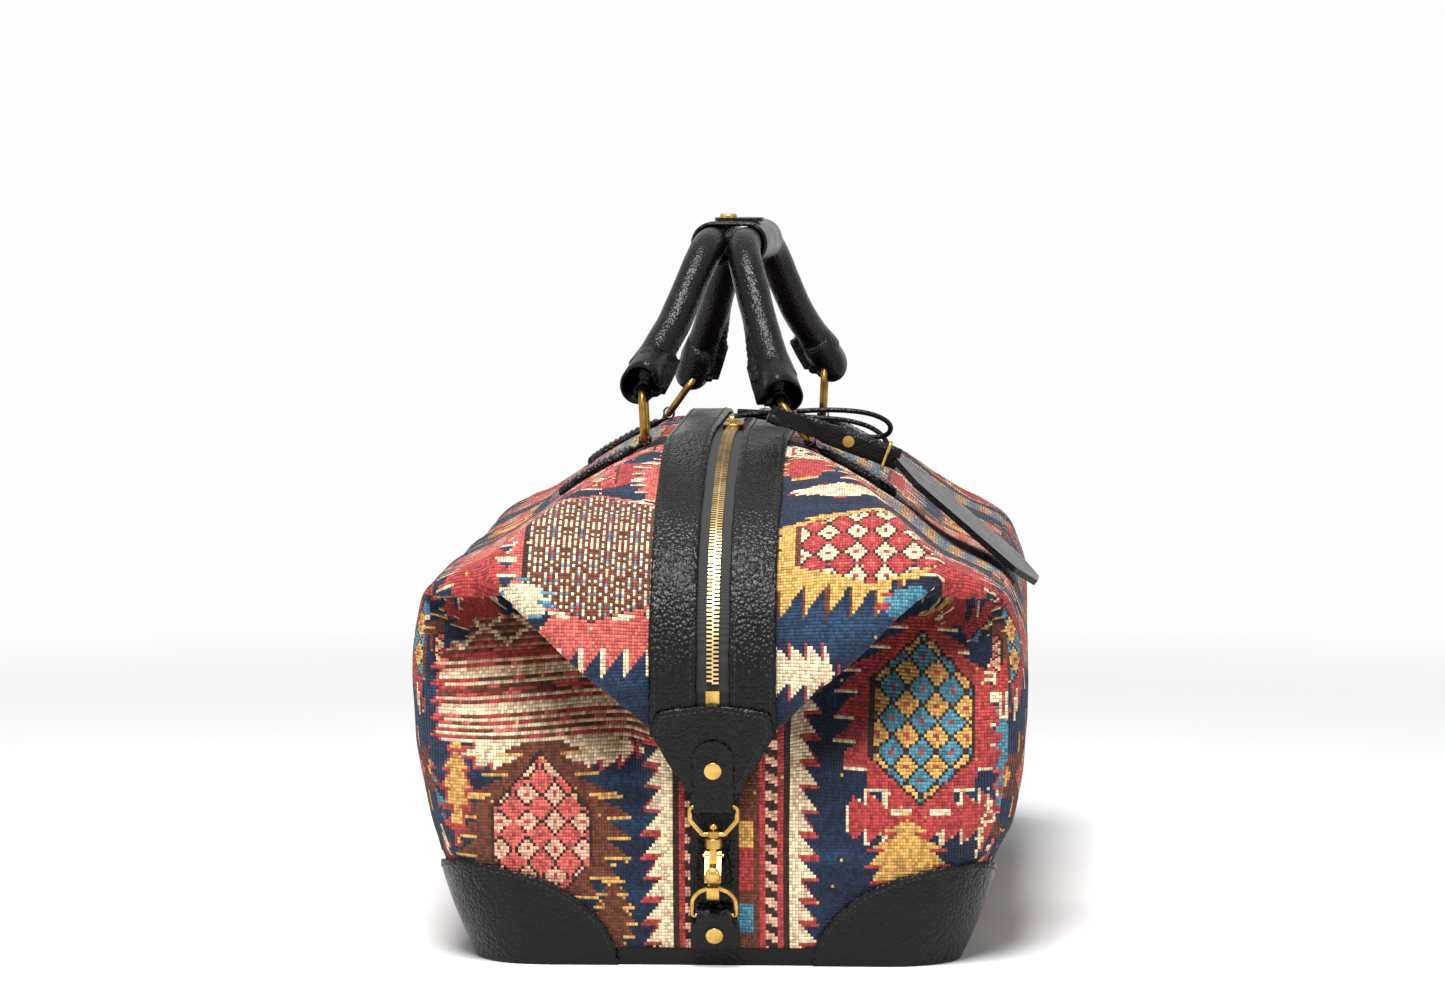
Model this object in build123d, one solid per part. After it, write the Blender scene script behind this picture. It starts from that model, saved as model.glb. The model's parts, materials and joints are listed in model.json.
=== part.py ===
from build123d import *
import os
from math import atan2, cos, degrees, hypot, radians, sin, tan

# Weekender bag of knotted carpet with a leather base, corners, zip bands and rolled handles.
# Its long zip runs out onto two wings that fold down over the ends and clip to a ring there.
# Millimetres. X runs along the bag, Y across it, Z up; the origin is under the middle of the base.

os.makedirs("parts", exist_ok=True)

# Carpet body
base_length = 476.0
base_width = 242.0
waist_length = 502.0
waist_width = 306.0
waist_height = 150.0
shoulder_height = 199.0
ridge_height = 259.0
corner_radius = 40.0
carpet = 5.0
board = 3.0
rim_height = 9.0

# Ridge of the closed bag, seen from the side: flat, a wide droop, then the wing's tighter turn
ridge_flat = 160.0
droop_radius = 320.0
droop_angle = 26.0
wing_radius = 85.0
tuck_angle = 12.0
wing_thickness = 8.0
wing_half = 114.0
wing_tip_half = 28.0
wing_tip_height = 118.0
hollow_radius = 90.0
hollow_depth = 24.0
hollow_offset = 70.0
hollow_height = 166.0

# Leather trim
leather = 2.0
corner_reach = 84.0
corner_height = 53.0
band_width = 24.0
zip_gap = 16.0
tab_height = 46.0
tab_bottom = 89.0
tab_half = 31.0
tab_foot_half = 12.5

# Zip
tape_thickness = 1.0
tooth_pitch = 4.4
tooth_length = 1.8
tooth_reach = 3.4
tooth_bite = 0.7
tooth_height = 2.0
stop_length = 7.0

slider_length = 14.0
slider_width = 10.4
slider_wall = 1.5
slider_place = 46.0
puller_length = 11.0
puller_width = 6.0
puller_thickness = 1.2
lace_radius = 1.4

# Clasp on each end: leather loop, swivel bail, hook with its gate, ring and keeper
loop_height = 83.0
loop_top = 117.0
loop_width = 20.0
rivet_radius = 4.5
rivet_height = 1.2
bail_wire = 1.35
bail_half = 11.8
bail_drop = 13.8
hook_eye_height = 44.9
throat_radius = 5.4
hook_round = 3.8
hook_width = 6.2
shank_radius = 4.4
back_flat = 0.5
thumb_radius = 3.8
arch_play = 1.3
stem_radius = 1.0
ring_wire = 1.25
d_ring_half = 11.0
keeper_height = 27.0
keeper_width = 24.0

# Handles, their four rings and the tabs that hold them
handle_station = 110.0
handle_radius = 8.6
handle_top = 357.0
handle_gap = 0.8
handle_twist = 8.5
ring_pivot = 43.0
ring_size = 26.0
ring_corner = 7.5
handle_ring_wire = 1.9
ring_top_half = 36.0
tab_width = 22.0
tab_length = 46.0
tab_thickness = 3.2
wrap_length = 74.0
wrap_thickness = 2.4
snap_radius = 4.6

# Luggage tag
tag_strap_length = 68.0
tag_strap_width = 11.0
tag_strap_back = 10.0
tag_leather = 1.6
tag_strap_slope = 20.0
tag_slope = 40.8
tag_length = 97.0
tag_width = 56.0
tag_thickness = 3.2
tag_twist = 3.0

# Clearances
pin_play = 0.15
loop_play = 0.3
loose_play = 1.9
loose_seat = 1.3
rest_gap = 0.3
tag_play = 0.9

far_out = 400.0
parts = {}


def keep(name, *shapes):
    """Files one named piece, made of one or more solids."""
    found = [solid for shape in shapes for solid in shape.solids()]
    parts[name] = found[0] if len(found) == 1 else Compound(children=found)


def slab(x_low, x_high, y_low, y_high, z_low, z_high):
    """Box between two corners."""
    size = (x_high - x_low, y_high - y_low, z_high - z_low)
    centre = ((x_high + x_low) / 2, (y_high + y_low) / 2, (z_high + z_low) / 2)
    return Pos(*centre) * Box(*size)


def both_ends(shape):
    """A piece on the near end and its mirror image on the far end."""
    return [shape, mirror(shape, Plane.YZ)]


def tub(inset=0.0):
    """The bag's four walls, leaning out from the base and rounded at the corners."""
    stations = [
        (0.0, base_length, base_width, corner_radius - 6),
        (waist_height / 2, waist_length - 4, waist_width - 14, corner_radius),
        (waist_height, waist_length, waist_width, corner_radius + 2),
        (ridge_height + 10, waist_length - 12, waist_width - 16, corner_radius + 2),
    ]
    faces = []
    for height, length, width, corner in stations:
        outline = RectangleRounded(length - 2 * inset, width - 2 * inset, corner - inset)
        faces.append(Plane.XY.offset(height) * outline)
    return loft(faces)


def roof_prism(inset=0.0):
    """The bag's roof and shoulders as seen from the end, run along X and moved in by inset."""
    brow = (waist_width / 2 + 4 - inset, waist_height)
    foot = (waist_width / 2 + 20, -1)
    roof = [
        brow,
        (waist_width / 2 - 1 - inset, shoulder_height - 26 - inset * 0.3),
        (waist_width / 2 - 7 - inset * 0.8, shoulder_height - 10 - inset * 0.6),
        (131 - inset * 0.4, shoulder_height - inset),
        (117 - inset * 0.6, ridge_height - 53.5 - inset),
        (100 - inset * 0.7, ridge_height - 41 - inset * 0.8),
        (80 - inset * 0.6, ridge_height - 26 - inset * 0.9),
        (62 - inset * 0.5, ridge_height - 15 - inset * 0.9),
        (45 - inset * 0.3, ridge_height - 7 - inset),
        (28, ridge_height - 1.5 - inset),
        (0, ridge_height - inset),
    ]
    edges = [
        Line((0, -1), foot),
        Line(foot, brow),
        Spline(*roof, tangents=[(0, 1), (-1, 0)]),
        Line((0, ridge_height - inset), (0, -1)),
    ]
    half = extrude(Plane.YZ * make_face(Wire(edges)), amount=waist_length, both=True)
    return half + mirror(half, Plane.XZ)


# Fixed points of the ridge's long profile
flat_half = ridge_flat / 2
droop = radians(droop_angle)
tuck = radians(tuck_angle)
droop_centre = (flat_half, ridge_height - droop_radius)
wing_centre = (
    droop_centre[0] + (droop_radius - wing_radius) * sin(droop),
    droop_centre[1] + (droop_radius - wing_radius) * cos(droop),
)


def on_circle(centre, radius, angle):
    """Point of a circle in the long profile; the angle turns from straight up towards the end."""
    return (centre[0] + radius * sin(angle), centre[1] + radius * cos(angle))


def ridge_edges(inset):
    """Flat and droop of the ridge, from its middle to the wing's root."""
    top = ridge_height - inset
    radius = droop_radius - inset
    start = (flat_half, top)
    along = on_circle(droop_centre, radius, droop / 2)
    root = on_circle(droop_centre, radius, droop)
    return [Line((0, top), start), ThreePointArc(start, along, root)], root


def droop_prism(inset=0.0):
    """The bag's outline from the side without its wings, run along Y and moved in by inset."""
    ridge, root = ridge_edges(inset)
    brow = (waist_length / 2 + 3 - inset, shoulder_height - 34)
    high = (waist_length / 2 - 6 - inset, shoulder_height - 3)
    crown = (waist_length / 2 - 15 - inset, shoulder_height + 14 - inset * 0.6)
    foot = (waist_length / 2 + 20, -1)
    edges = ridge + [
        Spline(root, crown, high, brow, tangents=[(cos(droop), -sin(droop)), (0, -1)]),
        Line(brow, foot),
        Line(foot, (0, -1)),
        Line((0, -1), (0, ridge_height - inset)),
    ]
    half = extrude(Plane.XZ * make_face(Wire(edges)), amount=waist_width, both=True)
    return half + mirror(half, Plane.YZ)


def bag_form(inset=0.0):
    """The closed bag without its wings, moved in by inset."""
    return tub(inset) & roof_prism(inset) & droop_prism(inset)


def wing_prism(inset, bottom):
    """All that lies under the ridge's long profile with its wings, down to the height bottom."""
    ridge, root = ridge_edges(inset)
    radius = wing_radius - inset
    start_angle = droop
    end_angle = radians(90) + tuck
    bulge = on_circle(wing_centre, radius, (start_angle + end_angle) / 2)
    tip = on_circle(wing_centre, radius, end_angle)
    foot = (tip[0] - (tip[1] - bottom) * tan(tuck), bottom)
    edges = ridge + [
        ThreePointArc(root, bulge, tip),
        Line(tip, foot),
        Line(foot, (0, bottom)),
        Line((0, bottom), (0, ridge_height - inset)),
    ]
    half = extrude(Plane.XZ * make_face(Wire(edges)), amount=waist_width, both=True)
    return half + mirror(half, Plane.YZ)


# Hollow body: the shell follows two dished hollows under each wing
body = bag_form()
inside = bag_form(carpet) - slab(-far_out, far_out, -far_out, far_out, -far_out, board)


def hollows(grow=0.0):
    """Four dishes in the end panels, beside and under the wings."""
    centre_x = waist_length / 2 - hollow_depth + hollow_radius
    places = [(x, y) for x in (centre_x, -centre_x) for y in (hollow_offset, -hollow_offset)]
    return [Pos(x, y, hollow_height) * Sphere(hollow_radius + grow) for x, y in places]


shell = (body - hollows()) - (inside - hollows(carpet))

# Wings: the doubled carpet past each end, cut to a kite and rounded to the body's corners
kite_points = [
    (-wing_tip_half, wing_tip_height),
    (wing_tip_half, wing_tip_height),
    (wing_half, shoulder_height - 2),
    (wing_half, ridge_height + 10),
    (-wing_half, ridge_height + 10),
    (-wing_half, shoulder_height - 2),
]
kite = extrude(Plane.YZ * make_face(Polyline(*kite_points, close=True)), amount=far_out, both=True)
wing_reach = wing_centre[0] + wing_radius
plan = RectangleRounded(2 * wing_reach, 2 * wing_half + 30, corner_radius + 16)
wing_layer = wing_prism(0, wing_tip_height) - wing_prism(wing_thickness, wing_tip_height - 1)
wings = roof_prism() & wing_layer & kite & extrude(plan, amount=far_out)
wings -= slab(-200, 200, -far_out, far_out, 0, far_out)
wings -= body

# Carpet panels: the shell parted at its seams, with a slot along the ridge for the zip
seam_x = waist_length / 2 - 18
hollow_seam_x = waist_length / 2 - hollow_depth - carpet - 1
slot_half = zip_gap / 2 + 1.5
seam_top = shoulder_height - 12
near_cut = slab(seam_x, far_out, -far_out, far_out, rim_height, seam_top)
near_cut += slab(hollow_seam_x, far_out, -hollow_offset * 1.75, hollow_offset * 1.75, rim_height, seam_top)
far_cut = mirror(near_cut, Plane.YZ)
base_cut = slab(-far_out, far_out, -far_out, far_out, -1, rim_height)
sides = shell - near_cut - far_cut - base_cut
sides += wings
keep("left_side_panel", sides & slab(-far_out, far_out, -far_out, -slot_half, 0, far_out))
keep("right_side_panel", sides & slab(-far_out, far_out, slot_half, far_out, 0, far_out))
keep("near_end_panel", shell & near_cut)
keep("far_end_panel", shell & far_cut)
keep("base_panel", shell & base_cut)

# Leather corners: the part of a thin skin that lies in a flattened ball round each bottom corner
skin = bag_form(-leather) - body
corner_x = waist_length / 2 - 8
corner_y = waist_width / 2 - 20
ball = scale(Sphere(corner_reach), (1, 1, corner_height / corner_reach))
corner_names = {
    "near_left_corner": (1, -1),
    "near_right_corner": (1, 1),
    "far_left_corner": (-1, -1),
    "far_right_corner": (-1, 1),
}
for name, (end, side) in corner_names.items():
    keep(name, skin & Pos(end * corner_x, side * corner_y, 0) * ball)


def wall_x(height):
    """How far the end panel stands from the middle at a height."""
    return (body & Pos(0, 0, height) * Box(2 * waist_length, 4, 0.2)).bounding_box().max.X


def roof_z(x, y):
    """Height of the roof above a point of the plan."""
    return (body & Pos(x, y, ridge_height) * Box(0.4, 0.4, 2 * ridge_height)).bounding_box().max.Z


# Zip bands: leather strips on both sides of the zip, over the ridge and down both wings
def ridge_layer(outer, inner, bottom):
    """Layer along the ridge and the wings between two insets."""
    top = roof_prism(min(outer, 0)) & wing_prism(outer, bottom)
    return top - (roof_prism(min(inner, 0)) & wing_prism(inner, bottom - 1))


band_inner = zip_gap / 2
band_outer = band_inner + band_width
band_layer = ridge_layer(-leather, 0, wing_tip_height)
keep("right_zip_band", band_layer & slab(-far_out, far_out, band_inner, band_outer, 0, far_out))
keep("left_zip_band", band_layer & slab(-far_out, far_out, -band_outer, -band_inner, 0, far_out))
tape_layer = wing_prism(tape_thickness, wing_tip_height + 2)
tape_layer -= wing_prism(2 * tape_thickness, wing_tip_height)
keep("zip_tape", tape_layer & slab(-far_out, far_out, -slot_half, slot_half, 0, far_out))

# Zip teeth: two rows of bars on the tape that reach past each other in the middle
droop_length = droop_radius * droop
teeth_end_angle = radians(93)
stop_angle = radians(97.5)


def on_ridge(distance, level):
    """Location on the ridge at a distance from its middle, that far above the carpet."""
    side = 1 if distance >= 0 else -1
    length = abs(distance)
    if length <= flat_half:
        spot, angle = (length, ridge_height + level), 0.0
    elif length <= flat_half + droop_length:
        angle = (length - flat_half) / droop_radius
        spot = on_circle(droop_centre, droop_radius + level, angle)
    else:
        angle = droop + (length - flat_half - droop_length) / wing_radius
        spot = on_circle(wing_centre, wing_radius + level, angle)
    return Pos(side * spot[0], 0, spot[1]) * Rot(0, side * degrees(angle), 0)


def tooth_row(side, shift):
    """All the teeth of one row."""
    reach = flat_half + droop_length + wing_radius * (teeth_end_angle - droop)
    count = int(2 * reach / tooth_pitch)
    middle_y = side * (tooth_reach - tooth_bite) / 2
    tooth = Pos(0, middle_y, 0) * Box(tooth_length, tooth_reach + tooth_bite, tooth_height)
    level = tooth_height / 2 - tape_thickness
    places = [(i - count / 2 + shift) * tooth_pitch for i in range(count)]
    return [on_ridge(place, level) * tooth for place in places]


keep("left_zip_teeth", *tooth_row(-1, 0.25))
keep("right_zip_teeth", *tooth_row(1, 0.75))
stop_place = flat_half + droop_length + wing_radius * (stop_angle - droop)
stop = Box(stop_length, 2 * tooth_reach, tooth_height + 0.6)
stop_level = (tooth_height + 0.6) / 2 - tape_thickness
keep("zip_stops", *[on_ridge(place, stop_level) * stop for place in (stop_place, -stop_place)])

# Zip sliders: two saddles over the teeth, each with an eye, a pull and a leather lace
teeth_top = ridge_height - tape_thickness + tooth_height
saddle_top = teeth_top + rest_gap + slider_wall
saddle_bottom = ridge_height - tape_thickness + rest_gap
eye_height = saddle_top + 2.0
eye_bore = 1.0
eye_half = 3.0


def slider(x):
    """Saddle with a wedge-shaped front and an upright eye."""
    half = slider_length / 2
    wide = slider_width / 2
    nose = make_face(Polyline((-half, -wide), (half - 4, -wide), (half, -2.6), (half, 2.6),
                              (half - 4, wide), (-half, wide), close=True))
    saddle = Plane.XY.offset(saddle_bottom) * extrude(nose, amount=saddle_top - saddle_bottom)
    channel = slab(-half - 1, half + 1, -tooth_reach - rest_gap, tooth_reach + rest_gap,
                   saddle_bottom - 1, teeth_top + rest_gap)
    saddle = fillet((saddle - channel).edges().group_by(Axis.Z)[-1], 0.6)
    eye = slab(-eye_half, eye_half, -1.1, 1.1, saddle_top - 0.2, eye_height + eye_bore + 1.2)
    eye = fillet(eye.edges().filter_by(Axis.Y).group_by(Axis.Z)[-1], 1.6)
    eye -= Pos(0, 0, eye_height) * Rot(90, 0, 0) * Cylinder(eye_bore, 10)
    return Pos(x, 0, 0) * (saddle + eye)


def puller():
    """Flat pull with a slot for the lace, and the pin it swings on."""
    arm = eye_half + 0.6
    outline = RectangleRounded(puller_length, puller_width, 1.4)
    outline = Pos(puller_length / 2 + arm, 0) * outline
    slot = Pos(puller_length / 2 + arm + 1, 0) * RectangleRounded(puller_length - 5.6, puller_width - 3, 1)
    plate = extrude(Pos(0, 0, -puller_thickness / 2) * (outline - slot), amount=puller_thickness)
    arms = [slab(-0.8, arm + 1.0, y - 0.6, y + 0.6, -0.8, 0.8) for y in (-2.0, 2.0)]
    pin = Rot(90, 0, 0) * Cylinder(eye_bore - pin_play, 5.2)
    return plate + arms + pin


near_x = slider_place
far_x = slider_place - slider_length - 1.0
keep("near_zip_slider", slider(near_x))
keep("far_zip_slider", Pos(2 * far_x, 0, 0) * mirror(slider(far_x), Plane.YZ))
keep("near_zip_pull", Pos(near_x, 0, eye_height) * puller())
keep("far_zip_pull", Pos(far_x, 0, eye_height) * mirror(puller(), Plane.YZ))

# Laces: one knotted through each pull and lying off to the right
near_lace_route = [
    (59.0, 1.0, 266.2), (60.0, 13.0, 267.6), (62.0, 32.0, 269.0), (62.0, 54.0, 270.2),
    (61.0, 74.0, 268.4), (59.0, 85.0, 262.5), (56.0, 83.0, 255.6), (54.0, 70.0, 254.6),
    (53.0, 52.0, 258.6), (53.0, 34.0, 263.2), (54.0, 18.0, 264.8), (56.0, 8.0, 267.4),
]
far_lace_route = [
    (18.0, 1.0, 266.2), (17.0, 12.0, 266.0), (15.0, 27.0, 264.0), (13.0, 44.0, 262.6),
    (12.0, 60.0, 261.4), (12.0, 74.0, 257.4), (13.0, 82.0, 250.0), (13.0, 83.0, 243.0),
]


def lace(name, points):
    """Round lace along straight runs joined by arcs as large as the runs allow."""
    spots = [Vector(*point) for point in points]
    radii = []
    for before, here, after in zip(spots, spots[1:], spots[2:]):
        first, second = here - before, after - here
        turn = radians(first.get_angle(second))
        radii.append(0.45 * min(first.length, second.length) / tan(turn / 2))
    path = FilletPolyline(*spots, radius=radii)
    start = Plane(origin=path @ 0, z_dir=path % 0)
    tube = sweep(start * Circle(lace_radius), path=path)
    share = tube.volume / (path.length * 3.14159 * lace_radius**2)
    print(name, "radii", [round(r, 1) for r in radii])
    print(name, "length", round(path.length), "volume", round(share, 3))
    keep(name, tube)


lace("near_lace", near_lace_route)
lace("far_lace", far_lace_route)

# Wing tabs: a leather shield over each wing tip, thicker below the carpet
tab_cover = 2.6


def seen_from_end(points, radius=0.0, rounded=()):
    """Prism along +X of an outline given as Y and Z, with some corners rounded."""
    face = make_face(Polyline(*points, close=True))
    if radius:
        spots = [points[i] for i in rounded]
        corners = [v for v in face.vertices() if any(hypot(v.X - y, v.Y - z) < 0.1 for y, z in spots)]
        face = fillet(corners, radius)
    return extrude(Plane.YZ * face, amount=far_out)


tab_top = tab_bottom + tab_height
shield_points = [
    (-tab_half + 2.5, tab_top - 3),
    (0, tab_top + 1),
    (tab_half - 2.5, tab_top - 3),
    (tab_half, tab_top - 14),
    (tab_foot_half, tab_bottom),
    (-tab_foot_half, tab_bottom),
    (-tab_half, tab_top - 14),
]
shield = seen_from_end(shield_points, 6.0, (0, 2, 3, 6))
cover_face = -leather - tab_cover
tab = wing_prism(cover_face, tab_bottom) - wing_prism(-leather, tab_bottom - 1)
foot = wing_prism(-leather, tab_bottom) - wing_prism(1, tab_bottom - 1)
foot &= slab(0, far_out, -far_out, far_out, 0, wing_tip_height - rest_gap)
near_tab = (tab + foot) & shield
for name, piece in zip(("near_wing_tab", "far_wing_tab"), both_ends(near_tab)):
    keep(name, piece)


def tip_x(inset, height):
    """How far the straight tip of the wing stands from the middle at a height."""
    tip = on_circle(wing_centre, wing_radius - inset, radians(90) + tuck)
    return tip[0] - (tip[1] - height) * tan(tuck)


# Clasp loops: leather riveted to the tab and turned round the bail
loop_round = bail_wire + loop_play + leather
clasp_x = tip_x(cover_face, loop_height) + leather - loop_round
loop_half = loop_width / 2
strip = wing_prism(cover_face - leather, loop_height) - wing_prism(cover_face, loop_height - 1)
strip_points = [
    (-loop_half, loop_height),
    (loop_half, loop_height),
    (loop_half, loop_top),
    (-loop_half, loop_top),
]
strip &= seen_from_end(strip_points, loop_half - 1, (2, 3))
turn_round = Pos(clasp_x, 0, loop_height) * Rot(90, 0, 0) * Cylinder(loop_round, loop_width)
web = slab(clasp_x - loop_round + 1, clasp_x + loop_round, -loop_half, loop_half, loop_height, tab_bottom)
bail_bore = Pos(clasp_x, 0, loop_height) * Rot(90, 0, 0) * Cylinder(bail_wire + loop_play, 2 * loop_width)
near_loop = (strip + turn_round + web) - bail_bore
for name, piece in zip(("near_clasp_loop", "far_clasp_loop"), both_ends(near_loop)):
    keep(name, piece)


def wire_loop(points, corner, wire):
    """Closed wire of round section through points, with rounded corners."""
    path = FilletPolyline(*points, radius=corner, close=True)
    return sweep(Plane(origin=path @ 0, z_dir=path % 0) * Circle(wire), path=path)


# Bails: six-sided wire loops with a boss for the swivel
bail_foot = loop_height - bail_drop
boss_radius = 2.9
boss_half = 1.6
bail_points = [
    (clasp_x, -bail_half, loop_height),
    (clasp_x, bail_half, loop_height),
    (clasp_x, bail_half, loop_height - 6.5),
    (clasp_x, 5.5, bail_foot),
    (clasp_x, -5.5, bail_foot),
    (clasp_x, -bail_half, loop_height - 6.5),
]
boss = Pos(clasp_x, 0, bail_foot) * Cylinder(boss_radius, 2 * boss_half)
boss_bore = Pos(clasp_x, 0, bail_foot) * Cylinder(stem_radius + pin_play, 20)
near_bail = (wire_loop(bail_points, 2.0, bail_wire) + boss) - boss_bore
for name, piece in zip(("near_bail", "far_bail"), both_ends(near_bail)):
    keep(name, piece)

# Hooks: swivel stem with a ball head, shank, neck plate and an open ring
ball_radius = 2.15
shank_top = bail_foot - boss_half - rest_gap
pivot_height = 58.8
pivot_x = clasp_x + 1.5
shank_bottom = pivot_height + 3.2
neck_half = 1.6
outer = throat_radius + hook_round
gap_low = radians(-10)


def side_prism(face, half):
    """Prism along Y of a face drawn in X and Z."""
    return extrude(Plane.XZ * face, amount=half, both=True)


stem_top = bail_foot + boss_half + ball_radius
stem = Pos(clasp_x, 0, (stem_top + shank_bottom) / 2) * Cylinder(stem_radius, stem_top - shank_bottom)
head = Pos(clasp_x, 0, stem_top) * Sphere(ball_radius)
shank = Pos(clasp_x, 0, (shank_top + shank_bottom) / 2) * Cylinder(shank_radius, shank_top - shank_bottom)
shank = fillet(shank.edges(), 0.8)
eye_centre = Pos(clasp_x, hook_eye_height)
ring_face = eye_centre * (Circle(outer) - Circle(throat_radius))
gap_face = make_face(
    Polyline(
        (clasp_x, hook_eye_height),
        (clasp_x + 30 * cos(gap_low), hook_eye_height + 30 * sin(gap_low)),
        (clasp_x + 30, hook_eye_height + 30),
        (clasp_x, hook_eye_height + 30),
        close=True,
    )
)
hook_ring = side_prism(ring_face - gap_face, hook_width / 2)
neck_face = make_face(
    Polyline(
        (clasp_x - outer + 0.3, hook_eye_height + 2),
        (clasp_x - throat_radius - 0.4, hook_eye_height + 2),
        (clasp_x - 2.6, hook_eye_height + throat_radius),
        (clasp_x, hook_eye_height + throat_radius + 0.4),
        (clasp_x + 3.4, pivot_height - 2.2),
        (clasp_x + 3.8, shank_bottom + 0.5),
        (clasp_x - 3.6, shank_bottom + 0.5),
        close=True,
    )
)
neck = side_prism(neck_face - eye_centre * Circle(throat_radius), neck_half)
hook_back = slab(clasp_x - outer - 2, clasp_x - outer + back_flat, -10, 10, 20, pivot_height)
pivot_bore = Pos(pivot_x, 0, pivot_height) * Rot(90, 0, 0) * Cylinder(0.9 + pin_play, 20)
near_hook = stem + head + shank + hook_ring + neck - pivot_bore - hook_back
for name, piece in zip(("near_hook", "far_hook"), both_ends(near_hook)):
    keep(name, piece)

# Gates: two cheeks beside the neck, a bar down to the hook's tip and a thumb piece
cheek_face = Pos(pivot_x, pivot_height) * Circle(2.9)
bar_face = make_face(
    Polyline(
        (pivot_x + 0.4, pivot_height - 2.8),
        (clasp_x + throat_radius + 0.6, hook_eye_height + 1.0),
        (clasp_x + outer - 0.2, hook_eye_height + 1.0),
        (clasp_x + outer - 0.4, hook_eye_height + 5.0),
        (pivot_x + 2.7, pivot_height + 0.4),
        close=True,
    )
)
cheeks = side_prism(cheek_face + bar_face, hook_width / 2 + 1.0)
between = slab(pivot_x - 5, clasp_x + outer + 9, -neck_half - rest_gap, neck_half + rest_gap, 53.2, 70)
thumb = Pos(clasp_x + outer - 0.6, 0, hook_eye_height + 5.0) * scale(Sphere(thumb_radius), (0.5, 1, 1))
gate_pin = Pos(pivot_x, 0, pivot_height) * Rot(90, 0, 0) * Cylinder(0.9, 10.4)
near_gate = (cheeks - between) + thumb + gate_pin
for name, piece in zip(("near_gate", "far_gate"), both_ends(near_gate)):
    keep(name, piece)

# End straps and keepers: leather up the end panel, turned round the ring's bar at the bottom
strap = skin & slab(0, far_out, -keeper_width / 2, keeper_width / 2, rim_height, tab_bottom + 30)
for name, piece in zip(("near_end_strap", "far_end_strap"), both_ends(strap)):
    keep(name, piece)
keeper_round = ring_wire + loop_play + leather
keeper_low = rim_height + 0.5
bar_x = wall_x(keeper_height) + leather + keeper_round + 0.4
legs = make_face(
    Polyline(
        (wall_x(keeper_low) + leather + 0.1, keeper_low),
        (wall_x(keeper_low) + 3 * leather, keeper_low),
        (bar_x + keeper_round * 0.7, keeper_height - 2.4),
        (bar_x, keeper_height),
        (wall_x(keeper_height) + leather + 0.1, keeper_height),
        close=True,
    )
)
keeper = side_prism(legs, keeper_width / 2)
keeper += Pos(bar_x, 0, keeper_height) * Rot(90, 0, 0) * Cylinder(keeper_round, keeper_width)
keeper_points = [
    (-keeper_width / 2, 0),
    (keeper_width / 2, 0),
    (keeper_width / 2, keeper_height - 8),
    (d_ring_half - ring_wire - 0.6, keeper_height - 3.6),
    (d_ring_half - ring_wire - 1.4, keeper_height + 8),
    (-d_ring_half + ring_wire + 1.4, keeper_height + 8),
    (-d_ring_half + ring_wire + 0.6, keeper_height - 3.6),
    (-keeper_width / 2, keeper_height - 8),
]
keeper &= seen_from_end(keeper_points)
bar_bore = Pos(bar_x, 0, keeper_height) * Rot(90, 0, 0) * Cylinder(ring_wire + loop_play, 2 * keeper_width)
keeper -= bar_bore
for name, piece in zip(("near_keeper", "far_keeper"), both_ends(keeper)):
    keep(name, piece)

# Clasp rings: a straight bar in the keeper and an arch through the hook's throat
arch_height = hook_eye_height - throat_radius + ring_wire + arch_play
lean = atan2(clasp_x - bar_x, arch_height - keeper_height)
rise = hypot(clasp_x - bar_x, arch_height - keeper_height)
ring_plane = Plane(origin=(bar_x, 0, keeper_height), x_dir=(0, 1, 0), z_dir=(cos(lean), 0, -sin(lean)))
ring_points = [(-d_ring_half, 0), (d_ring_half, 0), (d_ring_half, rise), (-d_ring_half, rise)]
path = FilletPolyline(*ring_points, radius=[1.5, 1.5, d_ring_half - 0.3, d_ring_half - 0.3], close=True)
near_ring = sweep(Plane(origin=path @ 0, z_dir=path % 0) * Circle(ring_wire), path=path)
near_ring = ring_plane.location * near_ring
for name, piece in zip(("near_clasp_ring", "far_clasp_ring"), both_ends(near_ring)):
    keep(name, piece)

# Rivets of the clasp loops and the keepers
rivet = Rot(0, 90, 0) * Cylinder(rivet_radius, rivet_height)
rivet = fillet(rivet.edges().group_by(Axis.X)[-1], 0.7)
rivet_z = (loop_height + loop_top) / 2 + 2
loop_rivet_x = tip_x(cover_face - leather, rivet_z) + rivet_height / 2
loop_rivet = Pos(loop_rivet_x, 0, rivet_z) * Rot(0, tuck_angle, 0) * rivet
keeper_rivet_z = keeper_low + 7
keeper_face = wall_x(keeper_low) + 3 * leather
keeper_slope = (bar_x + keeper_round * 0.7 - keeper_face) / (keeper_height - 2.4 - keeper_low)
keeper_rivet_x = keeper_face + keeper_slope * (keeper_rivet_z - keeper_low) + rivet_height / 2
keeper_rivet = Pos(keeper_rivet_x, 0, keeper_rivet_z) * Rot(0, degrees(-atan2(-keeper_slope, 1)), 0) * rivet
keep("clasp_rivets", *both_ends(loop_rivet - near_loop), *both_ends(keeper_rivet - keeper))

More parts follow.
